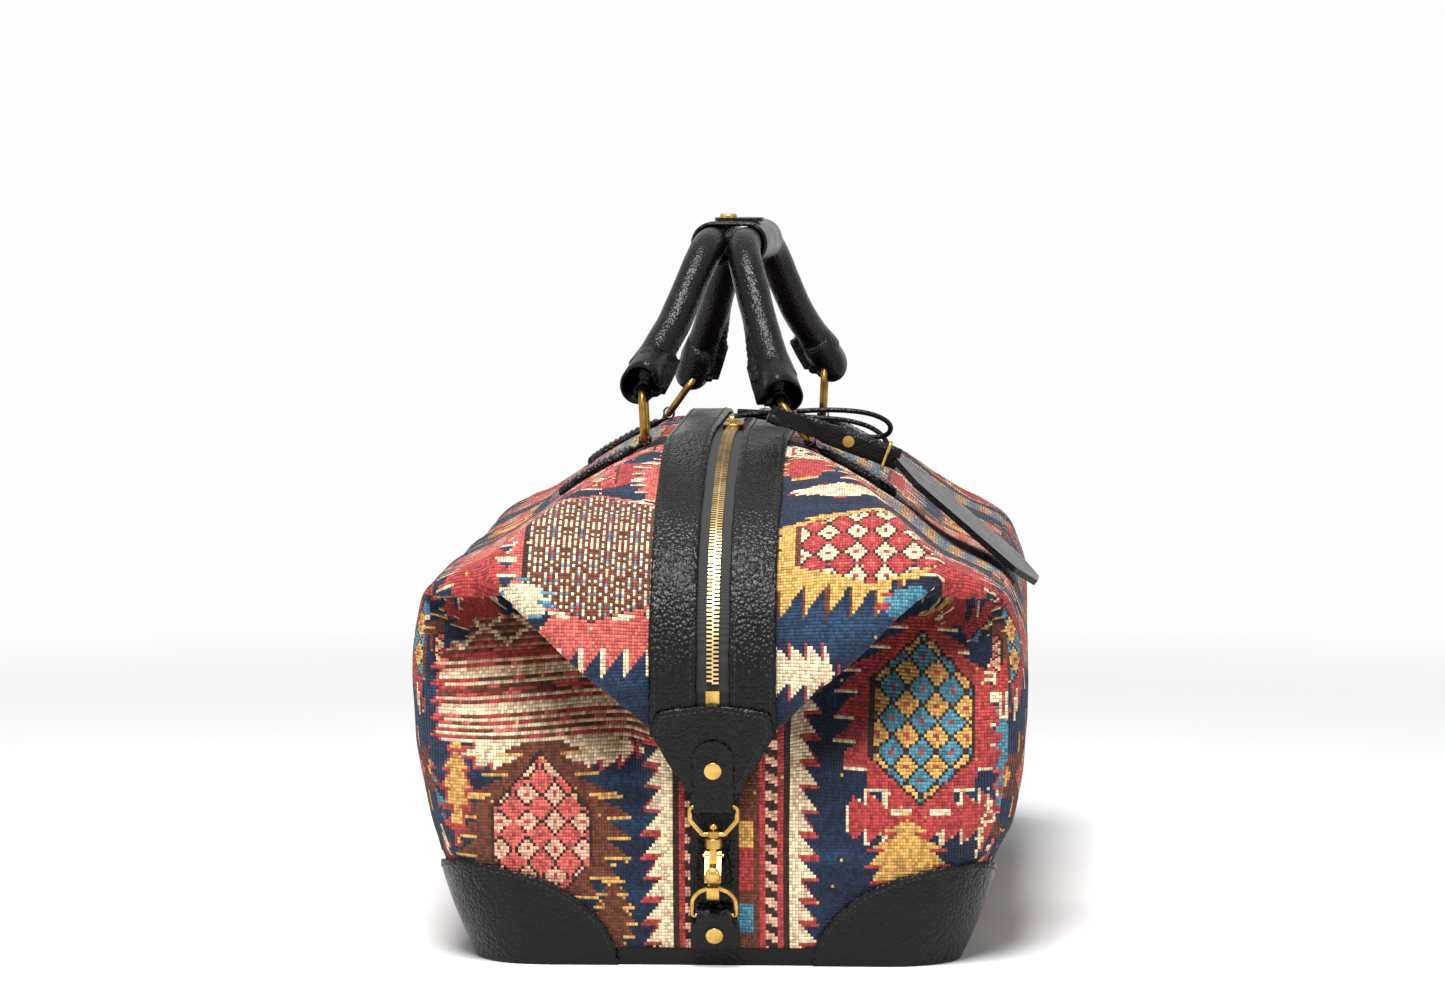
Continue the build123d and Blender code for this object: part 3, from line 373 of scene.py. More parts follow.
def striped_field(tree, place, below):
    """Cream field with fine red lines over the seam at the left of the end panel."""
    shape = add(tree, "Group", place, FIELD_CENTRE, FIELD_HALF, FIELD_TOOTH, node_tree=SERRATED)
    rim, edge, _, local = shape.node.outputs
    up = add(tree, "SeparateXYZ", place, out=1)
    line = add(tree, "Math", up, 2 * KNOT[1], operation="DIVIDE")
    line = add(tree, "Math", line, operation="FRACT")
    drift_place = add(tree, "VectorMath", place, (0.02, 0.16, 0), operation="MULTIPLY")
    drift = add(tree, "TexNoise", drift_place, feed={"Scale": 1.0, "Detail": 1.0})
    pale = add(tree, "ValToRGB", drift, stops=PALE_ROWS, blend="CONSTANT")
    dark = add(tree, "ValToRGB", drift, stops=DARK_ROWS, blend="CONSTANT")
    in_dark = add(tree, "Math", line, 0.5, operation="LESS_THAN")
    rows = add(tree, "Mix", in_dark, data_type="RGBA", feed={6: pale, 7: dark}, out=2)
    ring = add(tree, "Group", local, (*PETAL_CELL, 1), node_tree=FLORETS)
    top = add(tree, "Math", up, PETAL_START, operation="GREATER_THAN")
    petal = add(tree, "ValToRGB", ring, stops=PETALS, blend="CONSTANT")
    weight = add(tree, "Math", top, PETAL_WEIGHT, operation="MULTIPLY")
    rows = add(tree, "Mix", weight, data_type="RGBA", feed={6: rows, 7: petal}, out=2)
    at_rim = add(tree, "Math", edge, FIELD_RIM, operation="GREATER_THAN")
    rows = add(tree, "Mix", at_rim, data_type="RGBA", feed={6: rows, 7: RED}, out=2)
    inside = add(tree, "Math", rim, 0.0, operation="LESS_THAN")
    above_seam = add(tree, "Math", up, FIELD_SEAM, operation="GREATER_THAN")
    inside = add(tree, "Math", inside, above_seam, operation="MULTIPLY")
    return add(tree, "Mix", inside, data_type="RGBA", feed={6: below, 7: rows}, out=2)


# Pattern of the long sides and the roof: one repeat, and the motifs in it with their shifts
REPEAT = (132, 116, 1)
REPEATED = [
    ((0, 0, 0), (30, 42, 0.34), (11.0, 12.0), (CREAM, RED), (GOLD_TEAL, (15.0, 14.6), 8.0, DARK)),
    ((66, 58, 0), (29, 42, 0.30), (10.5, 12.0), (GOLD, BROWN), (ROSE_PINK, (14.0, 14.0), 7.0, DARK)),
    ((66, 0, 0), (8, 15, 0.30), (8.0, 7.0), (RED, GOLD), None),
    ((0, 58, 0), (8, 15, 0.30), (8.0, 7.0), (CREAM, ROSE), None),
    ((33, 29, 0), (3, 8, 0.30), (6.0, 4.0), (RED, TEAL), None),
    ((99, 29, 0), (3, 8, 0.30), (6.0, 4.0), (CREAM, RED), None),
]


def repeat(tree, place, below):
    """Staggered medallions and small flowers all over the long sides and the roof."""
    for shift, half, tooth, colours, lattice in REPEATED:
        moved = add(tree, "VectorMath", place, shift, operation="ADD")
        cell = add(tree, "VectorMath", moved, REPEAT, (0, 0, 0), operation="WRAP")
        middle = (REPEAT[0] / 2, REPEAT[1] / 2)
        below = motif(tree, cell, below, middle, half, tooth, colours, lattice)
    return below


DRIFT = (0.006, 0.05, 0)
WORN_SHARE = 0.9965
DARKEST_KNOT = 0.62
LIGHTEST_KNOT = 1.25


def carpet_colour(tree, knot):
    """The whole pattern, one colour for each knot."""
    # Navy ground whose blue drifts from row to row, as a new dye lot does
    drift_place = add(tree, "VectorMath", knot, DRIFT, operation="MULTIPLY")
    drift = add(tree, "TexNoise", drift_place, feed={"Scale": 1.0, "Detail": 2.0})
    ground = add(tree, "ValToRGB", drift, stops=[(0.3, DEEP), (0.5, NAVY), (0.72, BLUE)])
    across = add(tree, "SeparateXYZ", knot, out=0)
    up = add(tree, "SeparateXYZ", knot, out=1)
    turned = add(tree, "CombineXYZ", up, across, 0.0)
    colour = repeat(tree, knot, ground)
    on_wing = add(tree, "Math", up, WING_LIMIT, operation="LESS_THAN")
    beside = add(tree, "Math", across, operation="ABSOLUTE")
    over_end = add(tree, "Math", beside, WALL_START, operation="LESS_THAN")
    on_wing = add(tree, "Math", on_wing, over_end, operation="MULTIPLY")
    colour = add(tree, "Mix", on_wing, data_type="RGBA", feed={6: colour, 7: ground}, out=2)
    for row in TURNED_WING + TURNED_END:
        colour = motif(tree, turned, colour, *row)
    for row in UPRIGHT_WING + UPRIGHT_END:
        colour = motif(tree, knot, colour, *row)
    colour = striped_field(tree, knot, colour)
    colour = border(tree, knot, colour)
    # Stray pale knots where the pile has worn down to the warp
    stray = add(tree, "TexWhiteNoise", knot, noise_dimensions="2D")
    worn = add(tree, "Math", stray, WORN_SHARE, operation="GREATER_THAN")
    return add(tree, "Mix", worn, data_type="RGBA", feed={6: colour, 7: GOLD}, out=2)


def carpet_material():
    """Hand-knotted wool: rows of matt round knots, each one colour, with uneven dye, and with shade painted
    into the gaps between the rows.
    """
    material, tree = blank("knotted wool carpet")
    place = add(tree, "UVMap", uv_map="weave")
    place = add(tree, "VectorMath", place, (1000, 1000, 1000), operation="MULTIPLY")
    knot = add(tree, "VectorMath", place, (*KNOT, 1), operation="SNAP")
    colour = carpet_colour(tree, knot)
    # Each knot a little lighter or darker than its neighbours
    speck = add(tree, "TexWhiteNoise", knot, noise_dimensions="3D")
    light = add(tree, "MapRange", speck, feed={3: DARKEST_KNOT, 4: LIGHTEST_KNOT})
    colour = add(tree, "HueSaturation", 0.5, 1.0, light, 1.0, colour)
    # Round top of a knot for the bump, and the dark gaps between its rows: the same height also paints shade
    # into the colour, darker in the gaps and lighter on the knot tops (painted shade and painted highlight)
    share = add(tree, "VectorMath", place, (*KNOT, 1), operation="DIVIDE")
    share = add(tree, "VectorMath", share, operation="FRACTION")
    share = add(tree, "VectorMath", share, (pi, pi, 0), operation="MULTIPLY")
    wave = add(tree, "VectorMath", share, operation="SINE")
    swell_across = add(tree, "SeparateXYZ", wave, out=0)
    swell_up = add(tree, "SeparateXYZ", wave, out=1)
    swell_across = add(tree, "Math", swell_across, 0.5, operation="POWER")
    swell_up = add(tree, "Math", swell_up, 0.8, operation="POWER")
    height = add(tree, "Math", swell_across, swell_up, operation="MULTIPLY")
    jitter = add(tree, "Math", speck, 0.35, operation="MULTIPLY")
    height = add(tree, "Math", height, jitter, operation="ADD")
    normal = add(tree, "Bump", feed={"Strength": 0.9, "Distance": 0.0008, "Height": height})
    # Painted shade and highlight: the colour darkens in the gaps between knot rows and lightens on the knot
    # tops
    painted_knot_shade = add(tree, "MapRange", height, feed={1: 0.0, 2: 0.9, 3: 0.38, 4: 1.12})
    colour = add(tree, "HueSaturation", 0.5, 1.0, painted_knot_shade, 1.0, colour)
    finish_surface(tree, colour, 0.92, normal, Sheen_Weight=0.08, Specular_IOR_Level=0.2)
    return material


def leather_material(name, code, grain, depth, gloss):
    """Chrome-tanned cowhide with an embossed pebble grain and a satin pigment finish, with shade painted into
    the colour in the creases.
    """
    # Pebbles are drawn a little coarser than real ones, so that they show
    material, tree = blank(name)
    place = add(tree, "TexCoord", out=3)
    warp = add(tree, "TexNoise", place, feed={"Scale": 0.4 / grain, "Detail": 2.0}, out=1)
    warp = add(tree, "VectorMath", warp, (grain * 0.5,) * 3, operation="MULTIPLY")
    bent = add(tree, "VectorMath", place, warp, operation="ADD")
    pebbles = add(tree, "TexVoronoi", bent, feature="SMOOTH_F1", feed={"Scale": 1 / grain, "Smoothness": 0.3})
    pebbles = add(tree, "Math", pebbles, -1.0, operation="MULTIPLY")
    creases = add(tree, "TexNoise", place, feed={"Scale": 0.10 / grain, "Detail": 2.0})
    height = add(tree, "Math", pebbles, creases, operation="ADD")
    normal = add(tree, "Bump", feed={"Strength": 1.0, "Distance": depth, "Height": height})
    rough = add(tree, "MapRange", creases, feed={1: 0.3, 2: 0.7, 3: gloss - 0.04, 4: gloss + 0.08})
    # Painted shade: the colour is darker where the broad crease noise sinks the bump and lighter where it
    # raises it
    painted_crease_shade = add(tree, "MapRange", creases, feed={1: 0.3, 2: 0.7, 3: 0.85, 4: 1.2})
    colour = add(tree, "HueSaturation", 0.5, 1.0, painted_crease_shade, 1.0, code)
    finish_surface(tree, colour, rough, normal, Specular_IOR_Level=0.18)
    return material


def brass_material(name, code, dark_code, roughness):
    """Cast and tumbled brass: warm, with darker tarnish in soft patches and fine rub marks."""
    material, tree = blank(name)
    place = add(tree, "TexCoord", out=3)
    patches = add(tree, "TexNoise", place, feed={"Scale": 120.0, "Detail": 3.0})
    colour = add(tree, "ValToRGB", patches, stops=[(0.35, dark_code), (0.62, code)])
    rubs = add(tree, "TexNoise", place, feed={"Scale": 900.0, "Detail": 2.0})
    rough = add(tree, "MapRange", rubs, feed={3: roughness - 0.05, 4: roughness + 0.12})
    normal = add(tree, "Bump", feed={"Strength": 0.12, "Distance": 0.0002, "Height": rubs})
    finish_surface(tree, colour, rough, normal, Metallic=1.0)
    return material


def cloth_material():
    """Woven polyester zip tape: fine ribs across, dull black, with shade painted between the ribs and a
    painted highlight on their crests.
    """
    material, tree = blank("woven zip tape")
    place = add(tree, "TexCoord", out=3)
    ribs = add(tree, "TexWave", place, bands_direction="X", feed={"Scale": 400.0, "Distortion": 0.5})
    normal = add(tree, "Bump", feed={"Strength": 0.5, "Distance": 0.0003, "Height": ribs})
    # Painted shade: the colour follows the ribs' height, darker in the troughs and lighter on the crests
    colour = add(tree, "ValToRGB", ribs, stops=[(0.2, "#101012"), (0.9, "#1d1d20")])
    finish_surface(tree, colour, 0.85, normal, Sheen_Weight=0.1)
    return material


CARPET = carpet_material()
LEATHER = leather_material("pebbled cowhide", "#070708", 0.0019, 0.00065, 0.28)
HANDLE_LEATHER = leather_material("rolled cowhide", "#070708", 0.0015, 0.0003, 0.25)
THREAD = leather_material("bonded nylon thread", "#26241f", 0.0006, 0.0001, 0.5)
ZIP_CLOTH = cloth_material()
BRASS = brass_material("polished brass", "#c9a45c", "#a37f3f", 0.24)
ZIP_BRASS = brass_material("pale zip brass", "#e3c894", "#c4a164", 0.30)
OLD_BRASS = brass_material("aged brass", "#9c7838", "#6d5225", 0.28)


# Small tools for meshes
def link(name, mesh, material, body):
    """A finished mesh as an object of the bag, riding on its body."""
    obj = bpy.data.objects.new(name, mesh)
    scene.collection.objects.link(obj)
    mesh.materials.clear()
    mesh.materials.append(material)
    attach(obj, body)
    return obj


def merged_copy(names):
    """The named CAD pieces as one mesh whose corners are joined."""
    shape = bmesh.new()
    for name in names:
        shape.from_mesh(nodes[name].data)
    bmesh.ops.remove_doubles(shape, verts=shape.verts, dist=1e-5)
    mesh = bpy.data.meshes.new("copy")
    shape.to_mesh(mesh)
    shape.free()
    return mesh


def apply_modifiers(obj):
    """Applies all modifiers of an object in order."""
    bpy.context.view_layer.objects.active = obj
    for name in [m.name for m in obj.modifiers]:
        bpy.ops.object.modifier_apply(modifier=name)


def softened(names, voxel, rounds):
    """Copy of CAD pieces, wrapped in even quads and smoothed."""
    obj = bpy.data.objects.new("work", merged_copy(names))
    scene.collection.objects.link(obj)
    wrap = obj.modifiers.new("wrap", "REMESH")
    wrap.mode = "VOXEL"
    wrap.voxel_size = voxel
    relax = obj.modifiers.new("relax", "SMOOTH")
    relax.factor = 0.5
    relax.iterations = rounds
    apply_modifiers(obj)
    mesh = obj.data
    bpy.data.objects.remove(obj)
    return mesh


def tree_of(names):
    """Search tree over the faces of CAD pieces."""
    corners, faces = [], []
    for name in names:
        start = len(corners)
        corners += [v.co.copy() for v in nodes[name].data.vertices]
        faces += [[start + i for i in p.vertices] for p in nodes[name].data.polygons]
    return BVHTree.FromPolygons(corners, faces)


def ease(value, low, high):
    """0 below low, 1 above high, smooth between."""
    share = min(max((value - low) / (high - low), 0.0), 1.0)
    return share * share * (3 - 2 * share)


# Carpet body: one soft closed skin over the four panels, lying under the leather trim
PANELS = ["left_side_panel", "right_side_panel", "near_end_panel", "far_end_panel"]
TRIM = ["near_left_corner", "near_right_corner", "far_left_corner", "far_right_corner",
        "left_zip_band", "right_zip_band", "near_wing_tab", "far_wing_tab", "near_end_strap",
        "far_end_strap", "base_panel", "zip_tape",
        "near_left_ring_tab", "near_right_ring_tab", "far_left_ring_tab", "far_right_ring_tab"]
SKIN_VOXEL = 0.0035
trim_tree = tree_of(TRIM)
end_tree = tree_of(["near_end_panel", "far_end_panel"])
side_tree = tree_of(["left_side_panel", "right_side_panel"])

# The ridge's long profile, as in the bag's own geometry
RIDGE_HEIGHT = 0.259
FLAT_HALF = 0.080
DROOP_RADIUS = 0.320
DROOP = radians(26.0)
WING_RADIUS = 0.085
TUCK = radians(12.0)
droop_x, droop_z = FLAT_HALF, RIDGE_HEIGHT - DROOP_RADIUS
wing_x = droop_x + (DROOP_RADIUS - WING_RADIUS) * sin(DROOP)
wing_z = droop_z + (DROOP_RADIUS - WING_RADIUS) * cos(DROOP)
wing_end = pi / 2 + TUCK
TIP_HEIGHT = 0.118
TIP_DROP = (wing_z + WING_RADIUS * cos(wing_end) - TIP_HEIGHT) / cos(TUCK)
REACH = FLAT_HALF + DROOP_RADIUS * DROOP + WING_RADIUS * (wing_end - DROOP) + TIP_DROP


RIDGE_LOWEST = 0.17


def along_ridge(x, z):
    """Length along the ridge from the middle to a point's place, out over the wing."""
    x = abs(x)
    if x < droop_x:
        return x
    angle = atan2(x - droop_x, max(z, RIDGE_LOWEST) - droop_z)
    if angle < DROOP:
        return FLAT_HALF + DROOP_RADIUS * angle
    start = FLAT_HALF + DROOP_RADIUS * DROOP
    angle = min(atan2(x - wing_x, z - wing_z), wing_end) if x > wing_x else DROOP
    start += WING_RADIUS * (max(angle, DROOP) - DROOP)
    tip_z = wing_z + WING_RADIUS * cos(wing_end)
    return start + max(tip_z - z, 0.0) / cos(TUCK) * (angle >= wing_end - 1e-6)


SHOULDER = 0.199
ROOF_STRETCH = 1.08
ROOF_HALF = 0.150
WALL_TURN = 0.75
WALL_HALF = 0.245


def lay_weave(mesh):
    """The carpet's own coordinates in metres, for each corner of each face."""
    layer = mesh.uv_layers.new(name="weave")
    for face in mesh.polygons:
        centre, normal = face.center, face.normal
        near_end = end_tree.find_nearest(centre)[3]
        near_side = side_tree.find_nearest(centre)[3]
        on_end = near_end < near_side
        on_wall = abs(normal.y) > WALL_TURN and centre.z < SHOULDER and abs(centre.x) < WALL_HALF
        for loop in face.loop_indices:
            point = mesh.vertices[mesh.loops[loop].vertex_index].co
            side = 1 if point.y > 0 else -1
            if on_end:
                place = (point.y, point.z)
            elif on_wall:
                reach = (ROOF_HALF * ROOF_STRETCH + SHOULDER - point.z) * side
                place = (reach, PANEL_TOP * MM + REACH - abs(point.x))
            else:
                reach = point.y * ROOF_STRETCH
                place = (reach, PANEL_TOP * MM + REACH - along_ridge(point.x, point.z))
            layer.data[loop].uv = place


# Lower edge of the folded wings, as distance from the middle and height in mm
LIP = [(0, 112), (29, 119), (45, 131), (65, 150), (85, 171), (100, 182), (125, 187), (200, 190)]
HOLLOW_DEPTH = 0.036
LIP_ROLL = 0.007
WING_PUFF = 0.006
LEFT_BULGE = 0.0025
RIGHT_BULGE = 0.0035

# Where each of these shapes starts and ends, in metres
BULGE_LOW, BULGE_HIGH, BULGE_SIDE = (0.035, 0.09), (0.135, 0.215), (0.085, 0.145)
HOLLOW_RISE, HOLLOW_SIDE, HOLLOW_MIDDLE = (-0.070, -0.002), (0.122, 0.148), (0.018, 0.050)
ROLL_LOW, ROLL_HIGH = (-0.012, 0.002), (0.006, 0.030)
PUFF_LOW, PUFF_HIGH = (0.0, 0.03), (0.05, 0.09)
WING_START = 0.19

# Broad and small folds of the carpet: how many to a metre, and how high
BROAD_FOLDS = (9.0, 0.0030)
SMALL_FOLDS = (32.0, 0.0011)
SMALL_SHIFT = Vector((3, 1, 7))


def lip_height(y):
    """Height of the wing's lower edge at a place across the bag, in metres."""
    reach = abs(y) / MM
    for (low, start), (high, end) in zip(LIP, LIP[1:]):
        if reach <= high:
            return (start + (end - start) * (reach - low) / (high - low)) * MM
    return LIP[-1][1] * MM


def body_moves(point, normal, on_end):
    """Where the stuffed carpet's skin goes from a point of the plain form."""
    move = normal * (noise.noise(point * BROAD_FOLDS[0]) * BROAD_FOLDS[1])
    move += normal * (noise.noise(point * SMALL_FOLDS[0] + SMALL_SHIFT) * SMALL_FOLDS[1])
    bulge = LEFT_BULGE if point.y < 0 else RIGHT_BULGE
    height = ease(point.z, *BULGE_LOW) * (1 - ease(point.z, *BULGE_HIGH))
    side = 1 if point.y > 0 else -1
    move.y += side * bulge * height * ease(abs(point.y), *BULGE_SIDE)
    end = 1 if point.x > 0 else -1
    above = point.z - lip_height(point.y)
    if on_end:
        depth = ease(above, *HOLLOW_RISE) * (1 - ease(abs(point.y), *HOLLOW_SIDE))
        # The hollows are shallower behind the tab
        depth *= ease(abs(point.y), *HOLLOW_MIDDLE)
        move.x -= end * HOLLOW_DEPTH * depth
    elif abs(point.x) > WING_START:
        roll = ease(above, *ROLL_LOW) * (1 - ease(above, *ROLL_HIGH))
        puff = ease(above, *PUFF_LOW) * (1 - ease(above, *PUFF_HIGH))
        move.x += end * (LIP_ROLL * roll + WING_PUFF * puff)
    return move


# Under the trim the carpet lies still and is pressed in a little
TRIM_FADE = (0.003, 0.022)
SEAT_FADE = (0.001, 0.006)
SEAT_DEPTH = 0.0009

skin = softened(PANELS + ["zip_tape", "base_panel"], SKIN_VOXEL, 3)
moves = []
for vertex in skin.vertices:
    gap = trim_tree.find_nearest(vertex.co)[3]
    loose = ease(gap, *TRIM_FADE)
    on_end = end_tree.find_nearest(vertex.co)[3] < side_tree.find_nearest(vertex.co)[3]
    seat = vertex.normal * (SEAT_DEPTH * (1 - ease(gap, *SEAT_FADE)))
    moves.append(vertex.co + body_moves(vertex.co, vertex.normal, on_end) * loose - seat)
for vertex, spot in zip(skin.vertices, moves):
    vertex.co = spot
lay_weave(skin)
skin.update()
skin.polygons.foreach_set("use_smooth", [True] * len(skin.polygons))
carpet_body = link("carpet_body", skin, CARPET, "bag")
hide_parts(*PANELS)

# Leather pieces as soft sheets with rounded edges
HIDE_VOXEL = 0.0012
HIDE_FILL = 0.0003
HIDES = {
    LEATHER: ["near_left_corner", "near_right_corner", "far_left_corner", "far_right_corner",
              "left_zip_band", "right_zip_band", "near_wing_tab", "far_wing_tab", "near_end_strap",
              "far_end_strap", "near_left_ring_tab", "near_right_ring_tab", "far_left_ring_tab",
              "far_right_ring_tab"],
    HANDLE_LEATHER: ["left_handle", "right_handle", "handle_wrap", "tag_strap"],
}


def body_name(node):
    """The moving body that a CAD piece belongs to."""
    return next(name for name, empty in frame["bodies"].items() if empty == node.parent)


# Wrapping and smoothing close the play round the moving metal, so there the hide is drawn in again
METAL = ["near_left_ring", "near_right_ring", "far_left_ring", "far_right_ring", "near_hook", "far_hook",
         "near_clasp_ring", "far_clasp_ring", "near_bail", "far_bail"]
HIDE_DRAW = 0.0008
DRAW_FADE = (0.004, 0.008)
HIDE_SOFTENING = 4
HIDE_FOLDS = (40.0, 0.0004)
HIDE_DENTS = (110.0, 0.00012)
metal_tree = tree_of(METAL)


def hide_moves(point):
    """How far stuffed leather swells and dips at a point, in metres."""
    free = ease(metal_tree.find_nearest(point)[3], *DRAW_FADE)
    folds = noise.noise(point * HIDE_FOLDS[0]) * HIDE_FOLDS[1]
    swell = HIDE_FILL + folds + noise.noise(point * HIDE_DENTS[0]) * HIDE_DENTS[1]
    return swell * free - HIDE_DRAW * (1 - free)


# Sewn edge of a rolled handle: how far it stands out, its arc round the roll and where it ends
FIN_REACH = 0.0042
FIN_ARC = (0.90, 0.985)
FIN_FADE = (0.298, 0.318)


def fin_moves(name, point, normal):
    """How far the sewn edge stands out along the inner side of a rolled handle, in metres."""
    if name not in ("left_handle", "right_handle"):
        return 0.0
    inner = normal.y if name == "left_handle" else -normal.y
    return FIN_REACH * ease(inner, *FIN_ARC) * (1 - ease(point.z, *FIN_FADE))


for material, names in HIDES.items():
    for name in names:
        mesh = softened([name], HIDE_VOXEL, HIDE_SOFTENING)
        corners = [(v.co.copy(), v.normal.copy()) for v in mesh.vertices]
        for vertex, (spot, out) in zip(mesh.vertices, corners):
            vertex.co = spot + out * (hide_moves(spot) + fin_moves(name, spot, out))
        mesh.polygons.foreach_set("use_smooth", [True] * len(mesh.polygons))
        hide = link(name + "_hide", mesh, material, body_name(nodes[name]))
        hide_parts(name)

# Skirts: the rolled ends of the handles, flattened to the width of the rings that they cover
# Each level is its place along the handle, then its half width along X and across
SKIRT_LEVELS = [(0.014, 0.0090, 0.0090), (0.006, 0.0112, 0.0094), (0.0, 0.0148, 0.0096),
                (-0.0045, 0.0168, 0.0097), (-0.0085, 0.0174, 0.0098)]
SKIRT_SIDES = 48
SKIRT_WALL = 0.0016
SKIRT_FIN = 0.0052
SKIRT_FIN_ARC = (0.93, 0.985)
MOUTH_X = 0.109
MOUTH_SHIFT = 0.001
HANDLE_RISE = 0.0086
RING_WIRE = 0.0019
RING_TOP_BAND = 0.003
KNEE = (0.087, 0.023, 0.316)
TWIST = radians(8.5) / 2


def skirt_section(hide, middle, axis, half_x, half_y, inner, fin):
    """One ring of corners round the handle's axis; inner is the way the sewn edge points."""
    across = axis.cross(Vector((1, 0, 0))).normalized()
    along = across.cross(axis).normalized()
    corners = []
    for i in range(SKIRT_SIDES):
        angle = 2 * pi * i / SKIRT_SIDES
        way = along * (half_x * cos(angle)) + across * (half_y * sin(angle))
        facing = way.normalized().dot(inner)
        corners.append(hide.verts.new(middle + way + inner * fin * ease(facing, *SKIRT_FIN_ARC)))
    return corners


def skirt(hide, end, side):
    """Adds one open skirt to the mesh, outside and inside walls."""
    ring = nodes[("near" if end > 0 else "far") + ("_right_ring" if side > 0 else "_left_ring")]
    top_z = max(v.co.z for v in ring.data.vertices)
    top = [v.co for v in ring.data.vertices if v.co.z > top_z - RING_TOP_BAND]
    middle = sum(top, Vector()) / len(top)
    mouth = Vector((end * MOUTH_X, middle.y - side * MOUTH_SHIFT, top_z - RING_WIRE + HANDLE_RISE))
    x, y = end * KNEE[0], side * KNEE[1]
    knee = Vector((x * cos(TWIST) + y * sin(TWIST), y * cos(TWIST) - x * sin(TWIST), KNEE[2]))
    axis = (knee - mouth).normalized()
    inner = Vector((0, -side, 0))
    inner = (inner - axis * inner.dot(axis)).normalized()
    walls = []
    for level, half_x, half_y in SKIRT_LEVELS:
        spot = mouth + axis * level
        walls.append(skirt_section(hide, spot, axis, half_x, half_y, inner, SKIRT_FIN))
    for level, half_x, half_y in reversed(SKIRT_LEVELS):
        spot = mouth + axis * level
        inner_x, inner_y = half_x - SKIRT_WALL, half_y - SKIRT_WALL
        walls.append(skirt_section(hide, spot, axis, inner_x, inner_y, inner, FIN_REACH))
    for near, far in zip(walls, walls[1:] + walls[:1]):
        for i in range(SKIRT_SIDES):
            follow = (i + 1) % SKIRT_SIDES
            hide.faces.new((near[i], near[follow], far[follow], far[i]))


skirts = bmesh.new()
for end in (1, -1):
    for side in (1, -1):
        skirt(skirts, end, side)
bmesh.ops.recalc_face_normals(skirts, faces=skirts.faces)
skirt_mesh = bpy.data.meshes.new("handle_skirts")
skirts.to_mesh(skirt_mesh)
skirts.free()
skirt_mesh.polygons.foreach_set("use_smooth", [True] * len(skirt_mesh.polygons))
link("handle_skirts", skirt_mesh, HANDLE_LEATHER, "handles")

# Stitches: a row of short thread loops set in from every free edge of the trim
SEAM_INSET = 0.0030
SEAM_PITCH = 0.0034
STITCH = (0.0012, 0.00042, 0.00042)
SEWN = ["near_left_corner", "near_right_corner", "far_left_corner", "far_right_corner", "left_zip_band",
        "right_zip_band", "near_wing_tab", "far_wing_tab", "near_end_strap", "far_end_strap",
        "near_left_ring_tab", "near_right_ring_tab", "far_left_ring_tab", "far_right_ring_tab"]
SEAM_LOWEST = 0.010
SHARP_EDGE = 0.9
OUTER_FACE = 0.8
CORNER_SHARE = 0.8
RIM_STEP = 0.001
skin_tree = BVHTree.FromPolygons([v.co for v in skin.vertices], [p.vertices for p in skin.polygons])


def free_edges(shape):
    """Sharp edges round the outer faces of a leather sheet, with the way in from each."""
    found = {}
    for edge in shape.edges:
        if len(edge.link_faces) != 2 or edge.calc_face_angle() < SHARP_EDGE:
            continue
        for face in edge.link_faces:
            centre = face.calc_center_median()
            away = centre - skin_tree.find_nearest(centre)[0]
            if away.dot(face.normal) > OUTER_FACE * away.length:
                run = (edge.verts[1].co - edge.verts[0].co).normalized()
                inward = face.normal.cross(run)
                inward *= 1 if (centre - edge.verts[0].co).dot(inward) > 0 else -1
                found[edge.index] = (edge, inward, face.normal.copy())
    return found


def seam_routes(found):
    """The free edges as runs of joined edges."""
    routes = []
    while found:
        edge, inward, normal = found.pop(next(iter(found)))
        route = [(edge.verts[0].co.copy(), edge.verts[1].co.copy(), inward, normal)]
        corner = edge.verts[1]
        while True:
            follow = next((e for e in corner.link_edges if e.index in found), None)
            if follow is None:
                break
            edge, inward, normal = found.pop(follow.index)
            far = follow.other_vert(corner)
            route.append((corner.co.copy(), far.co.copy(), inward, normal))
            corner = far
        routes.append(route)
    return routes


def rim_spots(route):
    """Close places all along a run of edges."""
    spots = []
    for start, end, _, _ in route:
        steps = max(int((end - start).length / RIM_STEP), 1)
        spots += [start.lerp(end, i / steps) for i in range(steps)]
    return spots


def add_stitch(thread, place, run, facing):
    """One thread loop at a place, along run, half sunk in the leather."""
    across = facing.cross(run).normalized()
    run = across.cross(facing)
    turn = Matrix((run, across, facing)).transposed().to_4x4()
    matrix = Matrix.Translation(place) @ turn @ Matrix.Diagonal((*STITCH, 1))
    bmesh.ops.create_icosphere(thread, subdivisions=1, radius=1.0, matrix=matrix)


def sew(thread, name):
    """Adds the stitches of one leather piece to the thread mesh."""
    shape = bmesh.new()
    shape.from_mesh(nodes[name].data)
    bmesh.ops.remove_doubles(shape, verts=shape.verts, dist=1e-5)
    shape.edges.index_update()
    hide = scene.objects[name + "_hide"].data
    hide_tree = BVHTree.FromPolygons([v.co for v in hide.vertices], [p.vertices for p in hide.polygons])
    routes = seam_routes(free_edges(shape))
    shape.free()
    rims = [spot for route in routes for spot in rim_spots(route)]
    near_rim = KDTree(len(rims))
    for i, spot in enumerate(rims):
        near_rim.insert(spot, i)
    near_rim.balance()
    for route in routes:
        carried = 0.0
        for start, end, inward, normal in route:
            length = (end - start).length
            run = (end - start) / max(length, 1e-9)
            while carried < length:
                spot = start + run * carried + inward * SEAM_INSET
                carried += SEAM_PITCH
                if near_rim.find(spot)[2] < CORNER_SHARE * SEAM_INSET or spot.z < SEAM_LOWEST:
                    continue
                place, facing, _, _ = hide_tree.find_nearest(spot + normal * RIM_STEP)
                add_stitch(thread, place, run, facing)
            carried -= length


